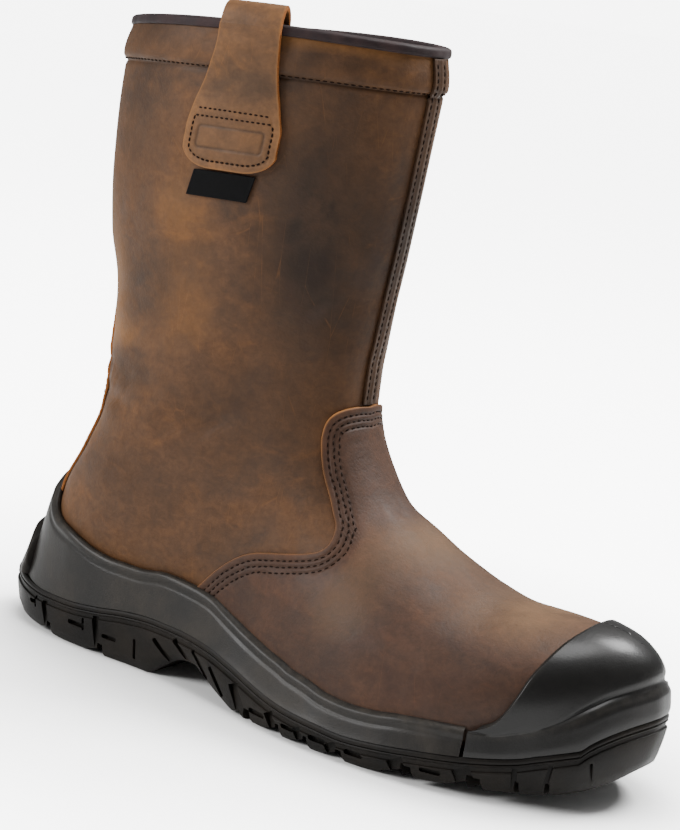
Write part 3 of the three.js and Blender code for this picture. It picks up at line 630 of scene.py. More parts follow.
def buildVamp(leather, stitches):
    corners = [Vector((at * soleLength, level(height), 0)) for at, height in vamp["edge"]]
    side = evenLine(corners, vamp["edgeSteps"])
    edge = []
    for point in side:
        place, around, _ = formAt(point.x, point.y, -1)
        share = (math.pi - around) / (math.pi - lowTurn(place))
        edge.append((place, min(max(share, 0), 1)))
    edge[-1] = (edge[-1][0], 0.0)
    full = edge + edge[-2::-1]
    columns = len(full) - 1
    rows = [0.02 + (0.98 - vamp["band"]) * i / vamp["longRows"] for i in range(vamp["longRows"])]
    rows += [1 - vamp["band"] * (1 - i / vamp["bandRows"]) for i in range(vamp["bandRows"])]
    rows = [(row, 0.0) for row in rows]
    rows += [(0.9985, 0.06), (1, 0.35), (1.0004, 0.8), (1.0004, 1.75)]

    def spotOf(column, share):
        place, spread = full[column]
        at = place * share
        turn = math.pi - spread * (math.pi - lowTurn(at))
        return at, turn if column <= columns / 2 else 2 * math.pi - turn

    line = [toBlender(formPoint(*spotOf(c, 1), vampOut())[0]) for c in range(columns + 1)]
    ups = [formPoint(*spotOf(c, 1), vampOut())[1] for c in range(columns + 1)]
    edgeTree = nearLine(line)

    def place(u, v):
        share, drop = rows[round(v * (len(rows) - 1))]
        at, around = spotOf(round(u * columns), share)
        point, normal = formPoint(at, around, vampOut() - drop)
        away = edgeTree.find(toBlender(point))[2] * 1000
        if drop == 0:
            for seam in vamp["seams"]:
                point -= normal * vamp["seamDepth"] * bump(away, seam, vamp["seamWidth"])
            dents = vamp["dents"][-1 if around < math.pi else 1]
            point -= normal * spotsAt(point.x, point.z, dents)
        # Painted shade darkens the puckered band between the stitch rows
        shade = shadeAt(point.x, point.z, vamp["shades"]) - 0.4 * bump(away, 5.6, 3.6)
        return point, max(ramp(drop, 0.1, 0.5), 0.3 * bump(away, 0, 0.5)), shade

    mesh = sheet(columns, len(rows) - 1, place)
    faceAway(mesh, (220, 0, 30))
    skin = treeOf(mesh)
    addPiece("vampLeather", mesh, [leather], "vamp")

    for seam in vamp["seams"]:
        sewRow(stitches, *rowInside(line, ups, -seam * mm, skin))
    print("vamp made")
    return skin


# The bumper: a dome over the toe above a proud band, split by a crease. Its edge is given as
# shares of the length and levels, its lip as millimetres past the edge and inwards
bumper = {
    "jointAt": 0.821, "jointGap": 0.0008, "columns": 150, "bandRows": 12, "domeRows": 46,
    "edge": [
        (0.822, 1.0), (0.843, 1.032), (0.856, 1.085), (0.866, 1.145), (0.873, 1.2),
        (0.882, 1.25), (0.892, 1.3), (0.903, 1.341), (0.908, 1.372),
    ],
    "topAt": 0.912, "lip": [(0.0, 0.25), (0.5, 0.75), (0.9, 1.6), (1.0, 2.9)],
    "creaseDepth": 0.9, "ledge": (0.885, 0.985),
    # the form that the dome is cast on: columns, rows, last section, and the point in the
    # toe that the rays start from
    "form": (120, 60, 9), "heart": (0.84 * soleLength, 1, 36),
}


def jointShares():
    joint = bumper["jointAt"] * soleLength
    return [
        search(start, 0.5, 30, lambda share: outlineAt(share)[0].x < joint)[0]
        for start in (0.3, 0.7)
    ]


def buildBumper(rubber):
    domeOut = 2 * boot["gap"] + boot["vampThickness"] + boot["capThickness"]
    dome = bmesh.new()
    around, along, reach = bumper["form"]
    bmesh.ops.create_grid(dome, x_segments=around, y_segments=along, size=0.5)
    for vert in dome.verts:
        u = round((vert.co.x + 0.5) * around) / around % 1
        place = 0.001 + reach * ((vert.co.y + 0.5) ** 1.4)
        vert.co = toBlender(formPoint(place, 2 * math.pi * u, domeOut)[0])
    domeTree = treeOf(dome)
    dome.free()
    heart = toBlender(bumper["heart"])

    def onDome(direction, sink=0.0):
        spot = domeTree.ray_cast(heart, direction)[0]
        return spot - direction * sink * mm

    half = []
    corners = [Vector((at * soleLength, level(height), 0)) for at, height in bumper["edge"]]
    for point in evenLine(corners, 60):
        half.append(formAt(point.x, point.y, -1)[:2])
    topPlace = search(
        2.0, 8.0, 30, lambda at: sectionAt(at)[1].x > bumper["topAt"] * soleLength)[0]
    lastPlace, lastAround = half[-1]
    for i in range(1, 15):
        t = i / 14
        half.append((mix(lastPlace, topPlace, t * (2 - t)), mix(lastAround, math.pi, t)))
    outer = [toBlender(formPoint(p, a, domeOut)[0]) for p, a in half]
    inner = [toBlender(formPoint(p, 2 * math.pi - a, domeOut)[0]) for p, a in half[-2::-1]]
    columns = bumper["columns"]
    edge = evenLine(outer + inner, columns)
    firstShare, lastShare = jointShares()
    bandRows, domeRows, lip = bumper["bandRows"], bumper["domeRows"], bumper["lip"]
    total = bandRows + domeRows + len(lip)
    gap = bumper["jointGap"]
    foot = [
        outlineAt(mix(firstShare + gap, lastShare - gap, i / columns))
        for i in range(columns + 1)
    ]

    def place(u, v):
        column = round(u * columns)
        row = round(v * total)
        point, out = foot[column]
        bottom = seamLine(point.x) + boot["gap"]
        crease = creaseLine(point.x)
        ledge = ramp(point.x / soleLength, *bumper["ledge"])
        rim = mix(1.6, boot["rubberRim"], ledge)
        creaseSpot = point - out * rim
        creaseInset = toBlender((creaseSpot.x, creaseSpot.y, crease))
        if row <= bandRows:
            t = row / bandRows
            z = mix(bottom, crease, t)
            inset = 0.3 * bump(t, 0, 0.1) + mix(rim * t, ramp(t, 0.1, 0.8), ledge)
            inset += (rim - 1) * ramp(t, 0.68, 1.02) * ledge
            spot = point - out * inset
            return toTable(toBlender((spot.x, spot.y, z))), bump(t, 0.9, 0.15)
        start = (creaseInset - heart).normalized()
        end = (edge[column] - heart).normalized()
        if row <= bandRows + domeRows:
            t = (row - bandRows) / domeRows
            sink = bumper["creaseDepth"] * ledge * bump(t, 0.05, 0.05)
            spot = onDome(start.slerp(end, t), sink)
            spot = creaseInset.lerp(spot, mix(ramp(t, -0.12, 0.34), 1, ledge))
            return toTable(spot), bump(t, 1, 0.05)
        beyond, sink = lip[row - bandRows - domeRows - 1]
        slope = beyond * mm / (edge[column] - heart).length
        direction = (end + (end - start).normalized() * slope).normalized()
        return toTable(onDome(direction, sink)), 1.0

    mesh = sheet(columns, total, place)
    faceAway(mesh, (270, 0, 30))
    addPiece("toeBumper", mesh, [rubber], "toe_cap")
    print("bumper made")


# The rubber wall over the outsole, leaning in to the leather under a rolled lip
midsole = {
    "columns": 260, "rows": 34,
    "lean": [(0, 0.03), (0.14, 0.16), (0.5, 0.44), (0.8, 0.66), (0.93, 0.79), (1, 1)],
    "lip": [(0.9, 0.42), (1.9, 0.5), (2.7, -0.1), (3.2, -1.6), (3.4, -4)],
    "bead": 0.45, "beadDrop": 4.4, "bulge": 0.35,
}
leanAt = curve(midsole["lean"])


def buildMidsole(rubber):
    firstShare, lastShare = jointShares()
    columns, rows, lip = midsole["columns"], midsole["rows"], midsole["lip"]
    total = rows + len(lip)
    gap = bumper["jointGap"]

    def place(u, v):
        share = firstShare - gap - u * (firstShare + 1 - lastShare - 2 * gap)
        point, out = outlineAt(round(share, 6) % 1)
        bottom = seamLine(point.x) + boot["gap"]
        top = rubberLine(point.x)
        reach = max(distanceToForm(round(share, 6) % 1, top) - boot["rubberRim"], 1)
        row = round(v * total)
        if row <= rows:
            t = row / rows
            t = t + 0.12 * math.sin(2 * math.pi * t) / (2 * math.pi)
            drop = (1 - t) * (top - bottom)
            inset = reach * leanAt(t) + midsole["bead"] * bump(drop, midsole["beadDrop"], 0.9)
            inset -= midsole["bulge"] * bump(drop, 1.6, 1.6)
            spot = point - out * inset
            # The wear layer lightens the top of the wall here and the crest of the lip below: a
            # chalky rub and a painted highlight along the bead
            return Vector((spot.x, spot.y, mix(bottom, top, t))), bump(drop, 0, 2.2)
        inwards, lift = lip[row - rows - 1]
        spot = point - out * (reach + inwards)
        return Vector((spot.x, spot.y, top + lift)), 0.8 if lift > 0 else 0

    mesh = sheet(columns, total, place)
    faceAway(mesh, (120, 0, 20))
    tree = treeOf(mesh)
    addPiece("midsoleWall", mesh, [rubber], "midsole")
    print("midsole made")
    return tree


# The outsole: rows of its side as share of the way to the seam, rise and inset as shares of
# the lugs' depth, then the cuts between and in the lugs, mirrored to both sides
outsole = {
    "columns": 240, "across": 10, "lugDepth": 5.5, "heelBulge": 4.5, "bevel": 0.5,
    "sharpAngle": 38,
    "side": [
        (0, 0, 0.76), (0, 0.25, 0.5), (0.2, 0.12, 0.3), (0.5, 0, 0.1), (1, -1.12, -0.02),
        (1, -1.02, 0.0), (1, -0.96, 0.13), (1, -0.66, 0.13), (1, -0.58, 0.02), (1, -0.52, 0),
        (1, -0.46, 0.03), (1, -0.42, 0.15), (1, -0.38, 0.03), (1, -0.26, 0), (1, -0.12, 0.03),
        (1, 0, 0.13),
    ],
    # across the tread: at, width, reach, slant
    "channels": [
        (0.123, 0.009, 0.2, 0.1), (0.224, 0.01, 0.2, 0), (0.5, 0.014, 0.36, 0.35),
        (0.556, 0.012, 0.3, 0.3), (0.604, 0.011, 0.3, 0.3), (0.656, 0.013, 0.44, 0.3),
        (0.75, 0.017, 0.44, 0.3), (0.834, 0.018, 0.4, 0.25), (0.885, 0.006, 0.14, 0.05),
        (0.92, 0.006, 0.12, -0.1),
    ],
    # gaps between the lugs, up the side: at, width, lean, depth
    "gaps": [
        (0.118, 3.4, 0.15, 2), (0.219, 3.6, 0.15, 2.2), (0.487, 6, 0.45, 2.4),
        (0.553, 5, 0.5, 3.2), (0.601, 4.4, 0.5, 3), (0.654, 6, 0.5, 3.2),
        (0.747, 7, 0.5, 3.2), (0.831, 7.5, 0.45, 3.2), (0.885, 2.2, 0.1, 2.4),
        (0.92, 2, -0.1, 2.2),
    ],
    # the end of each lug slopes up to its gap: length, rise, how far it runs in
    "endSlope": (9, 3, 12),
    # along the tread: from, to, side
    "grooves": [
        (0.03, 0.285, 0.2), (0.52, 0.64, 0.26), (0.65, 0.745, 0.3), (0.745, 0.84, 0.25),
    ],
    # in the lugs' faces: at, length, height, millimetres above the ground
    "slots": [
        (0.522, 9.6, 2.4, 6), (0.578, 7, 2.4, 6), (0.627, 8.6, 2.4, 6), (0.682, 8.6, 2.4, 5.6),
        (0.785, 9, 2.2, 5), (0.18, 9.6, 2.2, 11), (0.24, 8, 2, 10), (0.09, 5, 2, 11),
        (0.285, 1.5, 9.5, 9), (0.193, 1.3, 6, 12), (0.095, 1.2, 5.5, 11.5),
    ],
    "slotDepth": 2.2,
    # at, lean
    "ribCuts": [(0.335, 0.9), (0.37, 0.8), (0.405, 0.75), (0.44, 0.7)],
    "ribCutWidth": 2.4,
    # small bars across the middle of the tread: from, to, step
    "bars": [(0.06, 0.27, 0.035), (0.55, 0.9, 0.035)],
    # upright slits at the toe: share of the outline, height above the ground, length
    "toeSlits": [(0.523, 9, 13), (0.57, 9, 12), (0.43, 8, 10)],
}


# How far out the sole reaches on one side
def outlineSide(x, side):
    heel = 0.0 if side < 0 else 1.0
    share = search(heel, 0.5, 24, lambda share: outlineAt(share)[0].x < x)[0]
    return outlineAt(share)[0].y


# A block for cutting, its four edges across the boot rounded
def cutBlock(mesh, lengths, middle, turnZ=0.0, turnY=0.0, rounding=0.0):
    made = bmesh.ops.create_cube(mesh, size=1)["verts"]
    place = Matrix.Translation(toBlender(middle)) @ Matrix.Rotation(turnZ, 4, "Z")
    place = place @ Matrix.Rotation(turnY, 4, "Y")
    size = Matrix.Diagonal((*(Vector(lengths) * mm), 1))
    bmesh.ops.transform(mesh, matrix=place @ size, verts=made)
    if rounding:
        along = place.to_3x3() @ Vector((0, 1, 0))
        edges = [
            edge for edge in dict.fromkeys(e for v in made for e in v.link_edges)
            if abs((edge.verts[0].co - edge.verts[1].co).normalized().dot(along)) > 0.99
        ]
        bmesh.ops.bevel(mesh, geom=edges, offset=rounding * mm, offset_type="OFFSET",
                        affect="EDGES", segments=4, profile=0.5, material=-1)


def treadCuts():
    cuts = bmesh.new()
    lug = outsole["lugDepth"]
    for side in (-1, 1):
        for at, width, reach, slant in outsole["channels"]:
            x = at * soleLength
            lengths = (width * soleLength, 2 * reach * ballWidth, 2 * lug)
            cutBlock(cuts, lengths, (x, outlineSide(x, side), groundLine(x)), side * slant)
        for start, end, out in outsole["grooves"]:
            x = (start + end) / 2 * soleLength
            lengths = ((end - start) * soleLength, 0.035 * ballWidth, 2 * lug)
            cutBlock(cuts, lengths, (x, side * out * ballWidth, groundLine(x)))
        for at, width, lean, depth in outsole["gaps"]:
            x = at * soleLength
            edge = outlineSide(x, side)
            turn = math.atan2(outlineSide(x + lug, side) - edge, lug)
            height = seamLine(x) - groundLine(x) - 4.2
            lengths = (width, 2 * depth, height + 4)
            middle = (x, edge, groundLine(x) + height / 2 - 2)
            cutBlock(cuts, lengths, middle, turn, -lean)
            if width < 3:
                continue
            long, rise, inwards = outsole["endSlope"]
            slope = math.atan2(rise, long)
            middle = (x - long / 2 + 3 * math.sin(slope), edge,
                      groundLine(x) + rise / 2 - 3 * math.cos(slope))
            cutBlock(cuts, (long, 2 * inwards, 6), middle, turn, -slope)
        for at, length, tall, up in outsole["slots"]:
            x = at * soleLength
            edge = outlineSide(x, side)
            turn = math.atan2(outlineSide(x + lug, side) - edge, lug)
            middle = (x, edge - side * outsole["slotDepth"] / 2, groundLine(x) + up)
            cutBlock(cuts, (length, 2 * outsole["slotDepth"], tall), middle, turn,
                     rounding=min(length, tall) * 0.46)
        for at, lean in outsole["ribCuts"]:
            x = at * soleLength
            lengths = (outsole["ribCutWidth"], 2 * outsole["slotDepth"], boot["heelHeight"] / 2)
            middle = (x, outlineSide(x, side) - side * outsole["slotDepth"] / 2,
                      (groundLine(x) + seamLine(x)) / 2 - lug / 2)
            cutBlock(cuts, lengths, middle, 0, -lean, rounding=0.9)
    for share, up, tall in outsole["toeSlits"]:
        point, out = outlineAt(share)
        cutBlock(cuts, (1.4, 4, tall), (point.x, point.y, groundLine(point.x) + up),
                 math.atan2(-out.x, out.y), 0.25, rounding=0.5)
    for start, end, step in outsole["bars"]:
        at = start
        while at < end:
            x = at * soleLength
            cutBlock(cuts, (2.4, 0.22 * ballWidth, lug), (x, 0, groundLine(x)), 0.3)
            at += step
    return cuts


def buildOutsole(rubber):
    lug = outsole["lugDepth"]
    side = outsole["side"]

    def rowPoint(share, row):
        point, out = outlineAt(round(share, 6) % 1)
        up, rise, inset = side[row]
        behind = max(0, -out.x) ** 2 if point.x < soleLength / 4 else 0
        away = inset * lug - outsole["heelBulge"] * behind * (1 if inset < 0.4 else 0.8)
        z = mix(groundLine(point.x), seamLine(point.x), up) + rise * lug
        return Vector((point.x - out.x * away, point.y - out.y * away, z))

    wall = sheet(outsole["columns"], len(side) - 1,
                 lambda u, v: rowPoint(u, round(v * (len(side) - 1))), wrap=True)
    for row in (0, len(side) - 1):
        cover = sheet(outsole["columns"] // 2, outsole["across"],
                      lambda u, v: rowPoint(u / 2, row).lerp(rowPoint(1 - u / 2, row), v))
        part = bpy.data.meshes.new("cover")
        cover.to_mesh(part)
        cover.free()
        wall.from_mesh(part)
        bpy.data.meshes.remove(part)
    bmesh.ops.remove_doubles(wall, verts=wall.verts, dist=4e-6)
    bmesh.ops.dissolve_degenerate(wall, edges=wall.edges, dist=1e-6)
    turnOutward(wall)
    body = meshObject("outsoleBody", wall)
    tool = meshObject("treadCuts", treadCuts())
    cut = body.modifiers.new("cut", "BOOLEAN")
    cut.object = tool
    cut.operation = "DIFFERENCE"
    cut.solver = "EXACT"
    cut.use_self = True
    depsgraph = bpy.context.evaluated_depsgraph_get()
    result = bpy.data.meshes.new_from_object(body.evaluated_get(depsgraph))
    mesh = bmesh.new()
    mesh.from_mesh(result)
    for thing in (body, tool):
        bpy.data.objects.remove(thing)
    bmesh.ops.remove_doubles(mesh, verts=mesh.verts, dist=2e-5)
    sharp = outsole["sharpAngle"]
    piece = addPiece("outsoleTread", mesh, [rubber], "outsole", sharp)
    addBevel(piece, outsole["bevel"], sharp)
    print("outsole made")


# The kick tab behind the heel, a flat pillow on the midsole
kick = {
    "line": [(-0.25, 0.9), (-0.24, 1), (-0.2, 1.1), (-0.13, 1.15), (0, 1.165), (0.13, 1.15),
             (0.2, 1.1), (0.24, 1), (0.25, 0.9)],
    "halfWidth": 0.25, "thickness": 3.2, "rounding": 2.4, "columns": 48, "rows": 30,
    # how far the foot reaches under the seam, and how low the wall is felt for
    "under": 1.2, "lowest": 1.6,
}


def buildKickTab(rubber, wallTree):
    topAt = curve(kick["line"])
    half = kick["halfWidth"]

    def place(u, v):
        across = math.sin((u - 0.5) * math.pi)
        y = half * ballWidth * across
        foot = seamLine(6) - kick["under"]
        top = level(topAt(half * across))
        z = mix(foot, max(top, foot + 0.5), 1 - (1 - v) ** 1.5)
        spot, normal = castFromBehind(wallTree, y, max(z, seamLine(12) + kick["lowest"]))
        edge = min((1 - abs(across)) * half * ballWidth, top - z)
        share = min(max(edge / kick["rounding"], 0), 1)
        lift = (kick["thickness"] + 0.5) * math.sqrt(1 - (1 - share) ** 2) - 0.5
        out = Vector((normal.x, normal.y, 0)).normalized()
        spot = toTable(spot + out * lift * mm)
        return Vector((spot.x, spot.y, z)), bump(share, 0.6, 0.4)

    mesh = sheet(kick["columns"], kick["rows"], place)
    faceAway(mesh, (120, 0, 30))
    addPiece("kickTab", mesh, [rubber], "outsole")
    print("kick tab made")


# The rolled strip round the rim, its profile from the outside over the top to the inside:
# out from the middle of the wall, up from the rim
binding = {
    "columns": 300, "drop": 2.7, "over": 1.6, "thickness": 1.1, "wobble": 0.12,
}


def buildBinding(weave):
    half = boot["wall"] / 2
    reach = half + boot["gap"] + binding["thickness"]
    profile = [(reach - 0.5, -binding["drop"] - 0.1), (reach - 0.05, -binding["drop"] + 0.35)]
    profile += [(reach + 0.12, -1.6), (reach + 0.1, -0.8)]
    for i in range(11):
        turn = math.pi * i / 10
        profile.append((reach * math.cos(turn), (binding["over"]) * math.sin(turn)))
    profile += [(-reach - 0.1, -0.8), (-reach - 0.12, -1.6)]
    profile += [(-reach + 0.05, -binding["drop"] + 0.35), (-reach + 0.5, -binding["drop"] - 0.1)]
    profile += [(-half + 0.4, -binding["drop"] + 0.3), (half - 0.4, -binding["drop"] + 0.3)]
    count = len(profile)

    def place(u, v):
        around = 2 * math.pi * u
        base, normal = formPoint(lastSection, around, 0)
        out = Vector((normal.x, normal.y, 0)).normalized()
        away, up = profile[round(v * count) % count]
        swell = binding["wobble"] * (math.sin(23 * around) + 0.7 * math.sin(41 * around + 1))
        spot = base + out * (away - half + (swell if away > half else 0))
        return Vector((spot.x, spot.y, spot.z + up)), bump(up, binding["over"], 0.8)

    mesh = sheet(binding["columns"], count, place, wrap=True)
    turnOutward(mesh)
    addPiece("collarBinding", mesh, [weave], "collar_binding")
    print("binding made")


# Strips over the front and back seams of the shaft, laid on the leather
strips = {
    "thickness": 1.2, "columns": 28, "rows": 150, "backFrom": 1.2, "frontFrom": 1.924,
    # level, half width; the back strip flares out over the heel
    "frontHalf": [(1.9, 4.5), (3, 4.5)],
    "backHalf": [(1.2, 19), (1.5, 18.6), (1.75, 17.4), (1.93, 13.5), (2.1, 9), (2.3, 6.5),
                 (3, 6.5)],
    "frontSeams": [2], "backSeams": [2.1],
    "seamDepth": 0.24, "seamWidth": 0.5, "ridge": 0.3, "ridgeWidth": 0.7, "stitchPitch": 0.0029,
}


def buildStrip(name, leather, raw, skin, stitches, front):
    end = "front" if front else "back"
    halfAt = curve([(level(at), half) for at, half in strips[end + "Half"]])
    seams = strips[end + "Seams"]
    foot = level(strips[end + "From"])
    rim = rimRidge.y if front else rimKeel.y
    top = rim - binding["drop"] - 0.6
    start, way = (400, -1) if front else (-100, 1)
    lift = (boot["gap"] + strips["thickness"]) * mm

    def surface(y, z):
        spot, normal, _, _ = skin.ray_cast(toBlender((start, y, z)), Vector((way, 0, 0)))
        return spot, normal

    def place(u, v):
        z = mix(foot, top, v)
        y = (2 * u - 1) * halfAt(z)
        spot, normal = surface(y, z)
        away = halfAt(z) - abs(y)
        ridge = -sum(strips["seamDepth"] * bump(away, seam, strips["seamWidth"])
                     for seam in seams)
        if front:
            ridge += strips["ridge"] * bump(y, 0, strips["ridgeWidth"])
        wear = 0 if front else 0.5 * bump(away, 0, 0.5)
        # The front strip's tint of -0.6 is painted shade that darkens it all over
        return toTable(spot + normal * (lift + ridge * mm)), wear, -0.6 if front else 0

    mesh = sheet(strips["columns"], strips["rows"], place)
    rims = [v for v in mesh.verts if not v.is_boundary]
    for _ in range(2):
        bmesh.ops.smooth_vert(mesh, verts=rims, factor=0.4, use_axis_x=True,
                              use_axis_y=False, use_axis_z=False)
    faceAway(mesh, (110, 0, 200))
    node = "front_seam" if front else "back_strip"
    piece = addPiece(name, mesh, [leather, raw], node)
    finishStrip(piece, strips["thickness"])
    for seam in seams:
        for side in (-1, 1):
            points, normals = [], []
            for i in range(161):
                z = mix(foot + 1.5, top - 0.5, i / 160)
                spot, normal = surface(side * (halfAt(z) - seam), z)
                points.append(spot + normal * (lift - 0.0001))
                normals.append(normal)
            sewRow(stitches, points, normals, strips["stitchPitch"])
    print(name, "made")


def rimHeight(x):
    share = (x - rimKeel.x) / (rimRidge.x - rimKeel.x)
    return mix(rimKeel.y, rimRidge.y, share) + boot["collarArch"] * (1 - (2 * share - 1) ** 2)


# The strap bridges the notch under the padded band
strapPad = curve([(-1, -0.1), (0, -0.1), (0.25, 0.3), (0.6, 0.85), (0.9, 0.8), (1.25, 0.3),
                  (1.7, 0), (9, 0)])


# A point over the outer side's leather, at a distance under the rim and out from it. The form
# is read no nearer to the rim than nearest
def leatherPoint(x, drop, out, nearest=0.6):
    place, around, _ = formAt(x, rimHeight(x) - max(drop, nearest), -1)
    base, normal = formPoint(place, around, 0)
    pad = boot["padBulge"] * strapPad(drop / boot["padHeight"]) - padAt(depthAt(place))
    spot = base + normal * (out + pad)
    if drop < nearest:
        spot.z += min(nearest - drop, nearest)
    return spot, normal


# The pull strap: its middle line from the patch's lower end over the rim and down inside, up
# as shares of the patch's drop, out as shares of the thickness, width and shift as shares
# of the patch's width
strap = {
    "rows": [
        (-1, 0.5, 1.02, -0.03), (-0.93, 0.5, 1.03, -0.03), (-0.85, 0.5, 1.04, -0.03),
        (-0.72, 0.5, 1.04, -0.01), (-0.56, 0.5, 0.94, 0.01),
        (-0.4, 0.5, 0.79, 0.04), (-0.24, 0.5, 0.69, 0.07), (-0.15, 0.64, 0.66, 0.08),
        (-0.08, 1.05, 0.65, 0.08), (-0.01, 1.36, 0.64, 0.08), (0.05, 1.09, 0.64, 0.08),
        (0.11, 0.27, 0.64, 0.08), (0.128, -0.68, 0.64, 0.08), (0.11, -1.73, 0.64, 0.08),
        (0.05, -2.77, 0.64, 0.08), (-0.02, -3.23, 0.63, 0.08), (-0.1, -3.14, 0.63, 0.08),
        (-0.19, -2.7, 0.62, 0.07), (-0.44, -2.54, 0.61, 0.05),
    ],
    "at": 0.346, "thickness": 2.2, "width": 41, "drop": 60, "columns": 84, "lengthRows": 250,
    "seamInset": 3.1, "crossRows": [-0.65, -0.6], "frameWidth": 30, "frameHeight": 9,
    "frameAt": -0.785, "pitch": 0.0024,
    # the lower corners: where they start as a share of the half width, rise, fading length
    "cornerFrom": 0.35, "cornerRise": 9, "cornerFade": 24,
    # darker places: in from the edge, along from the lower end, half widths, amount
    "shades": [(9, 34, 8, 7, -0.5), (11, 47, 9, 6, -0.3), (13, 62, 9, 9, -0.35)],
}


def buildStrap(leather, raw, stitches):
    rows = strap["rows"]
    lines = [curve([(i, row[k]) for i, row in enumerate(rows)]) for k in range(4)]
    last = len(rows) - 1

    def station(at):
        up, out, width, shift = (line(at) for line in lines)
        return up * strap["drop"], boot["gap"] + out * strap["thickness"], \
            width * strap["width"], shift * strap["width"]

    marks = [i * last / 600 for i in range(601)]
    lengths = [0.0]
    for a, b in zip(marks, marks[1:]):
        first, second = station(a), station(b)
        lengths.append(lengths[-1] + math.hypot(second[0] - first[0], second[1] - first[1]))
    stationAt = curve(list(zip(lengths, marks)))
    total = lengths[-1]

    def surface(share, length, face):
        at = stationAt(length)
        up, out, width, shift = station(at)
        before, after = station(max(at - 0.3, 0)), station(min(at + 0.3, last))
        along = Vector((after[1] - before[1], after[0] - before[0])).normalized()
        out += along.y * face
        up -= along.x * face
        x = strap["at"] * soleLength + share * width / 2 + shift
        spot, normal = leatherPoint(x, max(-up, 0), out)
        spot.z += max(up, 0)
        facing = Vector((normal.x * along.y, normal.y * along.y, normal.z - along.x)).normalized()
        return spot, facing, width

    # How far the lower end rises towards its corners, on a line inside the edge
    def riseAt(share, inside=0):
        start = strap["cornerFrom"] * (1 + 2 * inside / strap["width"])
        turned = min(max((abs(share) - start) / (1 - start), 0), 0.985)
        return (strap["cornerRise"] - inside) * (1 - math.sqrt(1 - turned ** 2))

    half = strap["thickness"] / 2
    inset = strap["seamInset"]

    def lengthAt(up):
        return next(l for l, m in zip(lengths, marks) if station(m)[0] >= up * strap["drop"])

    frameMiddle = lengthAt(strap["frameAt"])
    crossLengths = [lengthAt(up) for up in strap["crossRows"]]

    def place(u, v):
        fromEnd = v * total
        share = 2 * u - 1
        length = fromEnd + riseAt(share) * max(1 - fromEnd / strap["cornerFade"], 0)
        spot, normal, width = surface(share, length, half)
        across = share * width / 2
        away = min((1 - abs(share)) * width / 2, fromEnd)
        sink = 0.22 * bump(away, inset, 0.5) if length < crossLengths[1] else 0
        boxX = abs(across) - strap["frameWidth"] / 2
        boxZ = abs(length - frameMiddle) - strap["frameHeight"] / 2
        corner = math.hypot(max(boxX + 1.5, 0), max(boxZ + 1.5, 0)) - 1.5
        edge = corner + min(max(boxX + 1.5, boxZ + 1.5), 0)
        sink += 0.5 * bump(edge, 0, 0.5) + 0.16 * ramp(-edge, 0.2, 0.9)
        spot -= normal * sink
        patch = -0.3 * ramp(away, inset - 0.5, inset + 0.5) * (1 - ramp(length, *crossLengths))
        shade = min(shadeAt(away, length, strap["shades"]), patch) - 0.5 * bump(edge, 0, 0.6)
        return spot, 0.6 * bump(away, 0, 0.5), max(shade, -0.9)

    mesh = sheet(strap["columns"], strap["lengthRows"], place)
    faceAway(mesh, (110, -55, 262))
    piece = addPiece("pullStrap", mesh, [leather, raw], "pull_strap")
    finishStrip(piece, strap["thickness"])

    border = []
    topLength = crossLengths[0]
    steps = 60
    for i in range(steps + 1):
        border.append((-1, mix(topLength, inset + riseAt(1, inset), i / steps)))
    for i in range(1, steps):
        share = -math.cos(math.pi * i / steps)
        border.append((share, inset + riseAt(share, inset)))
    for i in range(steps + 1):
        border.append((1, mix(inset + riseAt(1, inset), topLength, i / steps)))
    for route in (border, *([(2 * i / 30 - 1, l) for i in range(31)] for l in crossLengths)):
        points, normals = [], []
        for share, length in route:
            width = surface(0, length, half)[2]
            spot, normal, _ = surface(share * (1 - inset / (width / 2)), length, half)
            points.append(toBlender(spot))
            normals.append(normal)
        sewRow(stitches, points, normals, strap["pitch"])
    print("pull strap made")


# The small woven label under the patch, left blank
label = {
    "width": 29, "height": 11, "thickness": 1, "dropBelow": 1, "leanBack": 3, "shift": -2,
    "columns": 60, "rows": 24, "hem": 1.3,
}


def buildLabel(weave):
    def place(u, v):
        drop = strap["drop"] + label["dropBelow"] + v * label["height"]
        x = strap["at"] * soleLength + label["shift"] - label["leanBack"] * v
        x += (u - 0.5) * label["width"]
        edge = min(u * label["width"], (1 - u) * label["width"], (1 - v) * label["height"])
        out = boot["gap"] + label["thickness"] + 0.12 * bump(edge, 0.4, 0.4)
        return leatherPoint(x, drop, out)[0], bump(edge, label["hem"], 0.25)

    mesh = sheet(label["columns"], label["rows"], place)
    faceAway(mesh, (110, 0, 230))
    piece = addPiece("sideLabel", mesh, [weave], "side_label")
    finishStrip(piece, label["thickness"])
    print("label made")


# The bed under the foot
insole = {"from": 20, "to": 299, "columns": 110, "across": 28, "thickness": 3, "rim": 1.8}


def buildInsole(cloth):
    def place(u, v):
        x = mix(insole["from"], insole["to"], (1 - math.cos(math.pi * u)) / 2)
        z = bedLine(x) + boot["insoleThickness"]
        outer = formReach(x, z, -1) - boot["wall"] - 1
        inner = formReach(x, z, 1) - boot["wall"] - 1
        share = math.sin((v - 0.5) * math.pi)
        y = share * max(outer if share < 0 else inner, 0.5)
        return Vector((x, y, z - 1.5 + insole["rim"] * share * share))

    mesh = sheet(insole["columns"], insole["across"], place)
    faceAway(mesh, (150, 0, -100))
    piece = addPiece("footbed", mesh, [cloth], "insole")
    addThickness(piece, insole["thickness"])
    print("footbed made")


# The row of stitches under the padded band, round the shaft
def sewCollar(skin, stitches):
    depth = boot["padHeight"] - 0.9
    place = lastSection - depth / depthAt(lastSection - 1)
    points, normals = [], []
    for i in range(241):
        point, normal = formPoint(place, 2 * math.pi * i / 240, 0)
        spot = skin.find_nearest(toBlender(point))[0]
        points.append(spot + normal * 0.0001)
        normals.append(normal)
    sewRow(stitches, points, normals, strips["stitchPitch"])


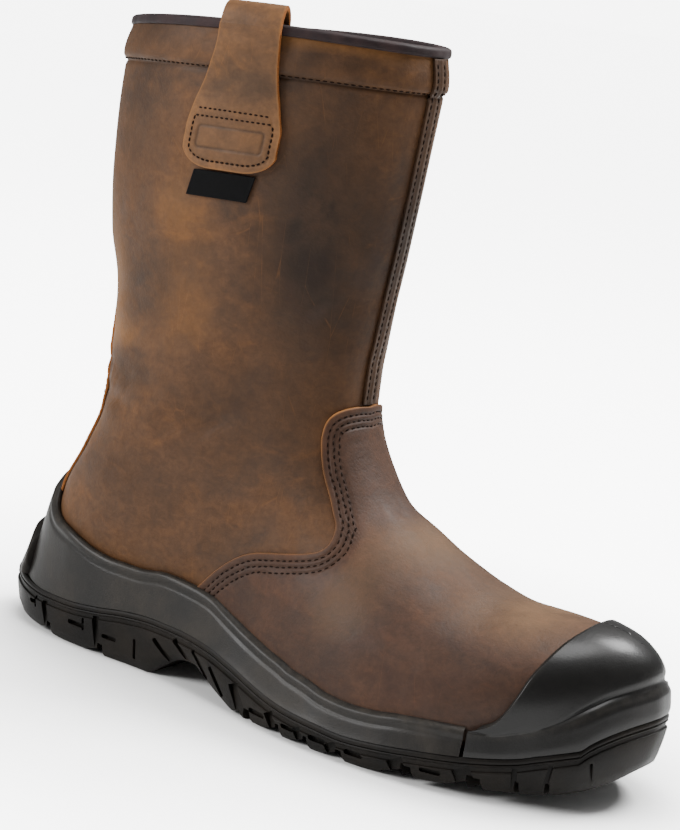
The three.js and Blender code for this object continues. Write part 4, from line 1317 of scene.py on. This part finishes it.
# Finishes. Colours are written as on a colour chart and turned to Blender's own values
def paint(code):
    parts = [int(code[i:i + 2], 16) / 255 for i in (0, 2, 4)]
    return (*(((p + 0.055) / 1.055) ** 2.4 if p > 0.04045 else p / 12.92 for p in parts), 1)


def addNode(tree, kind, values=None, **settings):
    node = tree.nodes.new(kind)
    for name, value in settings.items():
        setattr(node, name, value)
    for name, value in (values or {}).items():
        if isinstance(value, bpy.types.NodeSocket):
            tree.links.new(value, node.inputs[name])
        else:
            node.inputs[name].default_value = value
    return node


def addNoise(tree, where, scale, detail=4.0, rough=0.55, distortion=0.0):
    noise = addNode(tree, "ShaderNodeTexNoise", {
        "Vector": where, "Scale": scale, "Detail": detail, "Roughness": rough,
        "Distortion": distortion,
    })
    return noise.outputs["Fac"]


# Spreads the values between low and high over 0 to 1, or between the two given ends
def addSpread(tree, value, low, high, start=0.0, end=1.0):
    spread = addNode(tree, "ShaderNodeMapRange", {
        "Value": value, "From Min": low, "From Max": high, "To Min": start, "To Max": end,
    }, interpolation_type="SMOOTHSTEP")
    return spread.outputs["Result"]


def addMath(tree, operation, first, second=0.0):
    return addNode(tree, "ShaderNodeMath", {0: first, 1: second},
                   operation=operation).outputs[0]


def addMix(tree, share, first, second, blend="MIX"):
    both = addNode(tree, "ShaderNodeMix", {0: share, 6: first, 7: second},
                   data_type="RGBA", blend_type=blend)
    return both.outputs[2]


def addPlace(tree, scale=(1, 1, 1), turn=(0, 0, 0)):
    where = addNode(tree, "ShaderNodeTexCoord").outputs["Object"]
    return addNode(tree, "ShaderNodeMapping", {
        "Vector": where, "Scale": scale, "Rotation": turn,
    }).outputs["Vector"]


def makeGroup(name, sockets, results):
    group = bpy.data.node_groups.new(name, "ShaderNodeTree")
    for title, kind, value in sockets:
        socket = group.interface.new_socket(title, in_out="INPUT", socket_type=kind)
        socket.default_value = value
    for title, kind in results:
        group.interface.new_socket(title, in_out="OUTPUT", socket_type=kind)
    start = addNode(group, "NodeGroupInput").outputs
    end = addNode(group, "NodeGroupOutput").inputs
    return group, start, end


colourKind, numberKind = "NodeSocketColor", "NodeSocketFloat"


# Oiled hide: soft blotches, warm places where it is pulled, fine scratches and a close grain
def makeHideGroup():
    group, given, out = makeGroup("oiledHide", [
        ("Base", colourKind, paint("6f5647")), ("DarkAndShade", colourKind, paint("3b291c")),
        ("Pulled", colourKind, paint("9a6a3a")), ("PaleAndHighlight", colourKind, paint("b09a82")),
        ("Blotches", numberKind, 0.6), ("Pull", numberKind, 0.4), ("Tint", numberKind, 0.0),
    ], [("Color", colourKind), ("Roughness", numberKind), ("Height", numberKind)])
    plain = addPlace(group)
    broad = addNoise(group, plain, 13, 5, 0.6, 0.6)
    cloudy = addNoise(group, plain, 42, 6, 0.62, 0.4)
    streaky = addNoise(group, addPlace(group, (34, 34, 52), (0.5, 0.4, 0)), 1, 6, 0.64, 1.3)
    fine = addNoise(group, plain, 420, 3, 0.6)
    darkShare = addMath(group, "MULTIPLY", addSpread(group, broad, 0.42, 0.68), given["Blotches"])
    shade = addMix(group, darkShare, given["Base"], given["DarkAndShade"])
    pullShare = addMath(group, "MULTIPLY", addSpread(group, streaky, 0.52, 0.78), given["Pull"])
    shade = addMix(group, pullShare, shade, given["Pulled"])
    cloud = addSpread(group, cloudy, 0.3, 0.7, 0.82, 1.16)
    shade = addMix(group, 1.0, shade, cloud, "MULTIPLY")
    nap = addNoise(group, addPlace(group, (150, 150, 210), (0.2, 0.5, 0)), 1, 8, 0.72, 0.5)
    grey = addMath(group, "MULTIPLY", addSpread(group, fine, 0.25, 0.75, 0.88, 1.12),
                   addSpread(group, nap, 0.28, 0.72, 0.8, 1.2))
    shade = addMix(group, 1.0, shade, grey, "MULTIPLY")
    # The tint layer's paler places mix in the pale colour and its darker places the dark colour;
    # they hold painted highlight and painted shade as well as the leather's tone
    up = addMath(group, "MULTIPLY", addMath(group, "MAXIMUM", given["Tint"], 0.0),
                 addSpread(group, cloudy, 0.15, 0.65, 0.5, 1.0))
    shade = addMix(group, up, shade, given["PaleAndHighlight"])
    down = addMath(group, "MULTIPLY", addMath(group, "MINIMUM", given["Tint"], 0.0),
                   addSpread(group, cloudy, 0.3, 0.7, -0.6, -1.2))
    shade = addMix(group, down, shade, given["DarkAndShade"])
    scratch = addNode(group, "ShaderNodeTexVoronoi", {
        "Vector": addPlace(group, (70, 60, 9), (0.5, 0.9, 0.4)), "Scale": 1.6, "Randomness": 1.0,
    }, feature="DISTANCE_TO_EDGE")
    scratches = addMath(group, "MULTIPLY", addSpread(group, scratch.outputs[0], 0.012, 0.0),
                        addSpread(group, cloudy, 0.5, 0.62))
    shade = addMix(group, addMath(group, "MULTIPLY", scratches, 0.22), shade, given["Pulled"])
    group.links.new(shade, out["Color"])
    rough = addMath(group, "ADD", addSpread(group, cloudy, 0.3, 0.7, 0.54, 0.72),
                    addMath(group, "MULTIPLY", darkShare, -0.08))
    group.links.new(rough, out["Roughness"])
    pores = addNode(group, "ShaderNodeTexVoronoi", {"Vector": plain, "Scale": 900.0},
                    feature="SMOOTH_F1")
    grain = addMath(group, "MULTIPLY", pores.outputs["Distance"], 0.5)
    grain = addMath(group, "ADD", grain, addMath(group, "MULTIPLY", fine, 0.6))
    grain = addMath(group, "ADD", grain, addMath(group, "MULTIPLY", cloudy, 1.2))
    grain = addMath(group, "ADD", grain, addMath(group, "MULTIPLY", nap, 1.1))
    grain = addMath(group, "SUBTRACT", grain, addMath(group, "MULTIPLY", scratches, 0.25))
    group.links.new(grain, out["Height"])
    return group


# Moulded rubber: a fine skin, dust in soft patches and a lighter, chalky look where rubbed
def makeRubberGroup():
    group, given, out = makeGroup("mouldedRubber", [
        ("Base", colourKind, paint("2c2a28")), ("Dust", colourKind, paint("55504a")),
        ("Dusty", numberKind, 0.3), ("Wear", numberKind, 0.0),
    ], [("Color", colourKind), ("Roughness", numberKind), ("Height", numberKind)])
    plain = addPlace(group)
    patches = addNoise(group, plain, 26, 6, 0.62, 0.3)
    skin = addNoise(group, plain, 1500, 2, 0.5)
    specks = addNoise(group, plain, 260, 4, 0.7)
    share = addMath(group, "MULTIPLY", addSpread(group, patches, 0.4, 0.75), given["Dusty"])
    rubbed = addMath(group, "MULTIPLY", given["Wear"], addSpread(group, specks, 0.3, 0.7, 0.3, 1))
    share = addMath(group, "MAXIMUM", share, addMath(group, "MULTIPLY", rubbed, 0.55))
    shade = addMix(group, share, given["Base"], given["Dust"])
    shade = addMix(group, 1.0, shade, addSpread(group, specks, 0.3, 0.7, 0.9, 1.1), "MULTIPLY")
    group.links.new(shade, out["Color"])
    rough = addMath(group, "ADD", addSpread(group, patches, 0.3, 0.75, 0.4, 0.56),
                    addMath(group, "MULTIPLY", rubbed, 0.12))
    group.links.new(rough, out["Roughness"])
    height = addMath(group, "ADD", skin, addMath(group, "MULTIPLY", specks, 0.8))
    group.links.new(height, out["Height"])
    return group


# Woven threads along a piece's own cloth map
def makeWeaveGroup():
    group, given, out = makeGroup("wovenThreads", [
        ("Across", numberKind, 80.0), ("Along", numberKind, 30.0),
        ("Thread", colourKind, paint("1a1a1c")), ("Gap", colourKind, paint("08080a")),
    ], [("Color", colourKind), ("Height", numberKind)])
    flat = addNode(group, "ShaderNodeUVMap", uv_map="cloth").outputs["UV"]
    parts = addNode(group, "ShaderNodeSeparateXYZ", {0: flat}).outputs
    waves = []
    for part, count in ((parts[0], given["Across"]), (parts[1], given["Along"])):
        turn = addMath(group, "MULTIPLY", addMath(group, "MULTIPLY", part, count), 2 * math.pi)
        waves.append(addMath(group, "SINE", turn))
    cross = addMath(group, "MULTIPLY", waves[0], waves[1])
    height = addSpread(group, cross, -0.9, 0.9)
    fuzz = addNoise(group, addPlace(group), 1300, 3, 0.7)
    height = addMath(group, "ADD", height, addMath(group, "MULTIPLY", fuzz, 0.5))
    group.links.new(addMix(group, addSpread(group, height, 0.2, 1.2), given["Gap"],
                           given["Thread"]), out["Color"])
    group.links.new(height, out["Height"])
    return group


def startMaterial(name, **shader):
    material = bpy.data.materials.new(name)
    material.use_nodes = True
    tree = material.node_tree
    surface = tree.nodes["Principled BSDF"]
    for title, value in shader.items():
        surface.inputs[title].default_value = value
    return material, tree, surface


def placeGroup(tree, group, values):
    return addNode(tree, "ShaderNodeGroup", values, node_tree=group).outputs


def readLayer(tree, name):
    return addNode(tree, "ShaderNodeAttribute", attribute_name=name).outputs["Fac"]


# Links a finish into its shader: colour, roughness if it varies, and relief
def dress(tree, surface, shade, rough, height, depth, strength):
    tree.links.new(shade, surface.inputs["Base Color"])
    if rough:
        tree.links.new(rough, surface.inputs["Roughness"])
    relief = addNode(tree, "ShaderNodeBump", {
        "Height": height, "Distance": depth, "Strength": strength,
    })
    tree.links.new(relief.outputs["Normal"], surface.inputs["Normal"])


hides = {
    "shaft": {"Base": "4a301a", "DarkAndShade": "1e1209", "Pulled": "6e451e", "PaleAndHighlight": "8a5c2a",
              "Blotches": 0.75, "Pull": 0.32},
    "vamp": {"Base": "3e281b", "DarkAndShade": "1f120c", "Pulled": "553018", "PaleAndHighlight": "8a6c4c",
              "Blotches": 0.5, "Pull": 0.25},
    "strap": {"Base": "664528", "DarkAndShade": "2e2014", "Pulled": "7c5024", "PaleAndHighlight": "7d6b56",
              "Blotches": 0.65, "Pull": 0.5},
}


def makeHide(name, hideGroup, recipe, edgeColour):
    material, tree, surface = startMaterial(
        name, **{"Specular IOR Level": 0.23, "Sheen Weight": 0.04, "Sheen Roughness": 0.5})
    surface.inputs["Sheen Tint"].default_value = paint("c9a88a")
    values = {k: paint(v) if isinstance(v, str) else v for k, v in recipe.items()}
    values["Tint"] = readLayer(tree, "toneAndLight")
    hide = placeGroup(tree, hideGroup, values)
    wear = addMath(tree, "MULTIPLY", readLayer(tree, "wear"), 0.75)
    shade = addMix(tree, wear, hide["Color"], paint(edgeColour))
    dress(tree, surface, shade, hide["Roughness"], hide["Height"], 0.00022, 0.6)
    return material


# Fibres as one fine noise that sets colour, roughness and relief alike
def makeFibres(name, shine, noise, dark, pale, rough, depth, strength, stretch=1):
    material, tree, surface = startMaterial(name, **{"Specular IOR Level": shine})
    fibres = addNoise(tree, addPlace(tree, (1, 1, stretch)), *noise)
    shade = addMix(tree, addSpread(tree, fibres, 0.3, 0.7), paint(dark), paint(pale))
    dress(tree, surface, shade, addSpread(tree, fibres, 0.3, 0.7, *rough), fibres, depth,
          strength)
    return material


def makeRubber(name, rubberGroup, base, dust, dusty, coat, shine):
    material, tree, surface = startMaterial(
        name, **{"Specular IOR Level": shine, "Coat Weight": coat, "Coat Roughness": 0.25})
    rubber = placeGroup(tree, rubberGroup, {
        "Base": paint(base), "Dust": paint(dust), "Dusty": dusty, "Wear": readLayer(tree, "wear"),
    })
    dress(tree, surface, rubber["Color"], rubber["Roughness"], rubber["Height"], 0.00014, 0.6)
    return material


def makeWoven(name, weaveGroup, across, along, thread, gap, depth):
    material, tree, surface = startMaterial(
        name, **{"Roughness": 0.75, "Specular IOR Level": 0.1})
    weave = placeGroup(tree, weaveGroup, {
        "Across": across, "Along": along, "Thread": paint(thread), "Gap": paint(gap),
    })
    dress(tree, surface, weave["Color"], None, weave["Height"], depth, 0.8)
    return material


def makeFleece():
    material, tree, surface = startMaterial(
        "fleece", **{"Roughness": 0.9, "Specular IOR Level": 0.2, "Sheen Weight": 0.4})
    pile = addNoise(tree, addPlace(tree), 480, 6, 0.7, 0.3)
    knit = addNoise(tree, addPlace(tree, (1, 1, 0.4)), 140, 4, 0.6)
    both = addMath(tree, "ADD", addMath(tree, "MULTIPLY", pile, 0.6),
                   addMath(tree, "MULTIPLY", knit, 0.4))
    shade = addMix(tree, addSpread(tree, both, 0.35, 0.65), paint("1d1a18"), paint("37312c"))
    dress(tree, surface, shade, None, both, 0.0006, 0.8)
    return material


def makeBinding():
    material, tree, surface = startMaterial(
        "boundEdge", **{"Specular IOR Level": 0.18, "Sheen Weight": 0.03})
    plain = addPlace(tree)
    grain = addNode(tree, "ShaderNodeTexVoronoi", {"Vector": plain, "Scale": 850.0},
                    feature="SMOOTH_F1").outputs["Distance"]
    cloudy = addNoise(tree, plain, 90, 4, 0.6)
    shade = addMix(tree, addSpread(tree, cloudy, 0.3, 0.7), paint("180f11"), paint("2b1d1d"))
    rough = addSpread(tree, cloudy, 0.3, 0.7, 0.55, 0.72)
    dress(tree, surface, shade, rough, grain, 0.00012, 0.6)
    return material


# The studio: a pale floor whose glow for the camera dims near the boot into a painted shadow,
# soft lights and the camera
studio = {
    "floorRadius": 40, "world": 0.26, "backdrop": 7, "floorGlow": 6.5, "shadowReach": 0.3,
    # name, right, up, towards the camera, size, power
    "lights": [
        ("keyLight", 0.9, 1.4, -0.5, 0.8, 56), ("leftFill", -1.6, 0.8, 0.6, 0.9, 40),
        ("topLight", 0.1, 2.4, 0.3, 1.4, 56),
    ],
    "camera": (0.5671, -0.8103, 0.3093), "aim": (0.0802, 0, 0.1256), "roll": 8.7,
    "lens": 97.9,
}


def buildCamera():
    data = bpy.data.cameras.new("camera")
    data.sensor_fit = "VERTICAL"
    data.sensor_height = 36
    data.lens = studio["lens"]
    camera = bpy.data.objects.new("camera", data)
    bpy.context.collection.objects.link(camera)
    look = Vector(studio["aim"]) - Vector(studio["camera"])
    turn = look.to_track_quat("-Z", "Y").to_matrix().to_4x4()
    roll = Matrix.Rotation(math.radians(studio["roll"]), 4, "Z")
    camera.matrix_world = Matrix.Translation(studio["camera"]) @ turn @ roll
    bpy.context.scene.camera = camera
    print("camera set")


# Shows the camera one shader and lights the scene with the other
def showCamera(tree, output, other, seen):
    ray = addNode(tree, "ShaderNodeLightPath")
    both = addNode(tree, "ShaderNodeMixShader", {
        0: ray.outputs["Is Camera Ray"], 1: other.outputs[0], 2: seen.outputs[0],
    })
    tree.links.new(both.outputs[0], tree.nodes[output].inputs["Surface"])


def buildStudio():
    floor = bmesh.new()
    bmesh.ops.create_circle(floor, cap_ends=True, segments=96, radius=studio["floorRadius"])
    piece = meshObject("studioFloor", floor)
    material, tree, surface = startMaterial(
        "paleFloor", **{"Roughness": 0.6, "Specular IOR Level": 0.2})
    soft = addNoise(tree, addPlace(tree), 3, 2)
    shade = addMix(tree, soft, paint("f4f4f3"), paint("f7f7f6"))
    tree.links.new(shade, surface.inputs["Base Color"])
    # Occlusion near the boot dims the floor's glow: a painted shadow
    paintedShadow = addNode(tree, "ShaderNodeAmbientOcclusion", {"Distance": studio["shadowReach"]})
    share = addMath(tree, "POWER", paintedShadow.outputs["AO"], 5.0)
    glow = addNode(tree, "ShaderNodeEmission", {
        "Strength": addMath(tree, "MULTIPLY", share, studio["floorGlow"]),
    })
    lit = addNode(tree, "ShaderNodeAddShader", {0: surface.outputs[0], 1: glow.outputs[0]})
    showCamera(tree, "Material Output", surface, lit)
    piece.data.materials.append(material)

    world = bpy.data.worlds.new("studioWorld")
    bpy.context.scene.world = world
    world.use_nodes = True
    sky = world.node_tree.nodes["Background"]
    sky.inputs["Color"].default_value = (1, 1, 1, 1)
    sky.inputs["Strength"].default_value = studio["world"]
    seen = addNode(world.node_tree, "ShaderNodeBackground", {
        "Color": (1, 1, 1, 1), "Strength": studio["backdrop"],
    })
    showCamera(world.node_tree, "World Output", sky, seen)

    aim = Vector(studio["aim"])
    back = Vector(studio["camera"]) - aim
    back.z = 0
    back.normalize()
    right = Vector((-back.y, back.x, 0))
    for name, across, up, near, size, power in studio["lights"]:
        data = bpy.data.lights.new(name, "AREA")
        data.shape = "DISK"
        data.size = size
        data.energy = power
        light = bpy.data.objects.new(name, data)
        bpy.context.collection.objects.link(light)
        spot = aim + right * across + Vector((0, 0, up)) + back * near
        light.matrix_world = Matrix.Translation(spot) @ (
            (aim - spot).to_track_quat("-Z", "Y").to_matrix().to_4x4())
    print("studio made")


buildCamera()
hideGroup = makeHideGroup()
rubberGroup = makeRubberGroup()
weaveGroup = makeWeaveGroup()
shaftHide = makeHide("shaftHide", hideGroup, hides["shaft"], "6f4722")
vampHide = makeHide("vampHide", hideGroup, hides["vamp"], "94602c")
strapHide = makeHide("strapHide", hideGroup, hides["strap"], "8a5a2a")
rawEdge = makeFibres("rawEdge", 0.3, (900, 4, 0.7), "6d3d17", "9a5d28", (0.65, 0.85), 0.0002,
                     0.7, 2.4)
soleRubber = makeRubber("soleRubber", rubberGroup, "141210", "342e27", 0.5, 0.08, 0.2)
bumperRubber = makeRubber("bumperRubber", rubberGroup, "0a0908", "23201c", 0.2, 0.3, 0.16)
treadRubber = makeRubber("treadRubber", rubberGroup, "0e0c0a", "2c2620", 0.45, 0.0, 0.12)
waxedThread = makeFibres("waxedThread", 0.06, (1600, 3, 0.6), "100804", "1e120a", (0.5, 0.7),
                         0.0001, 0.5)
labelWeave = makeWoven("labelWeave", weaveGroup, 82, 31, "0b0b0c", "020203", 0.00014)
fleece = makeFleece()
boundEdge = makeBinding()
print("finishes made")

stitches = bmesh.new()
leatherSkin = buildUpper(shaftHide, fleece)
buildVamp(vampHide, stitches)
buildBumper(bumperRubber)
wallSkin = buildMidsole(soleRubber)
buildOutsole(treadRubber)
buildKickTab(treadRubber, wallSkin)
buildBinding(boundEdge)
buildStrip("frontSeam", shaftHide, shaftHide, leatherSkin, stitches, True)
buildStrip("backStrip", strapHide, rawEdge, leatherSkin, stitches, False)
buildStrap(strapHide, rawEdge, stitches)
buildLabel(labelWeave)
buildInsole(fleece)
sewCollar(leatherSkin, stitches)
addPiece("stitches", stitches, [waxedThread])
print("stitches made")
buildStudio()
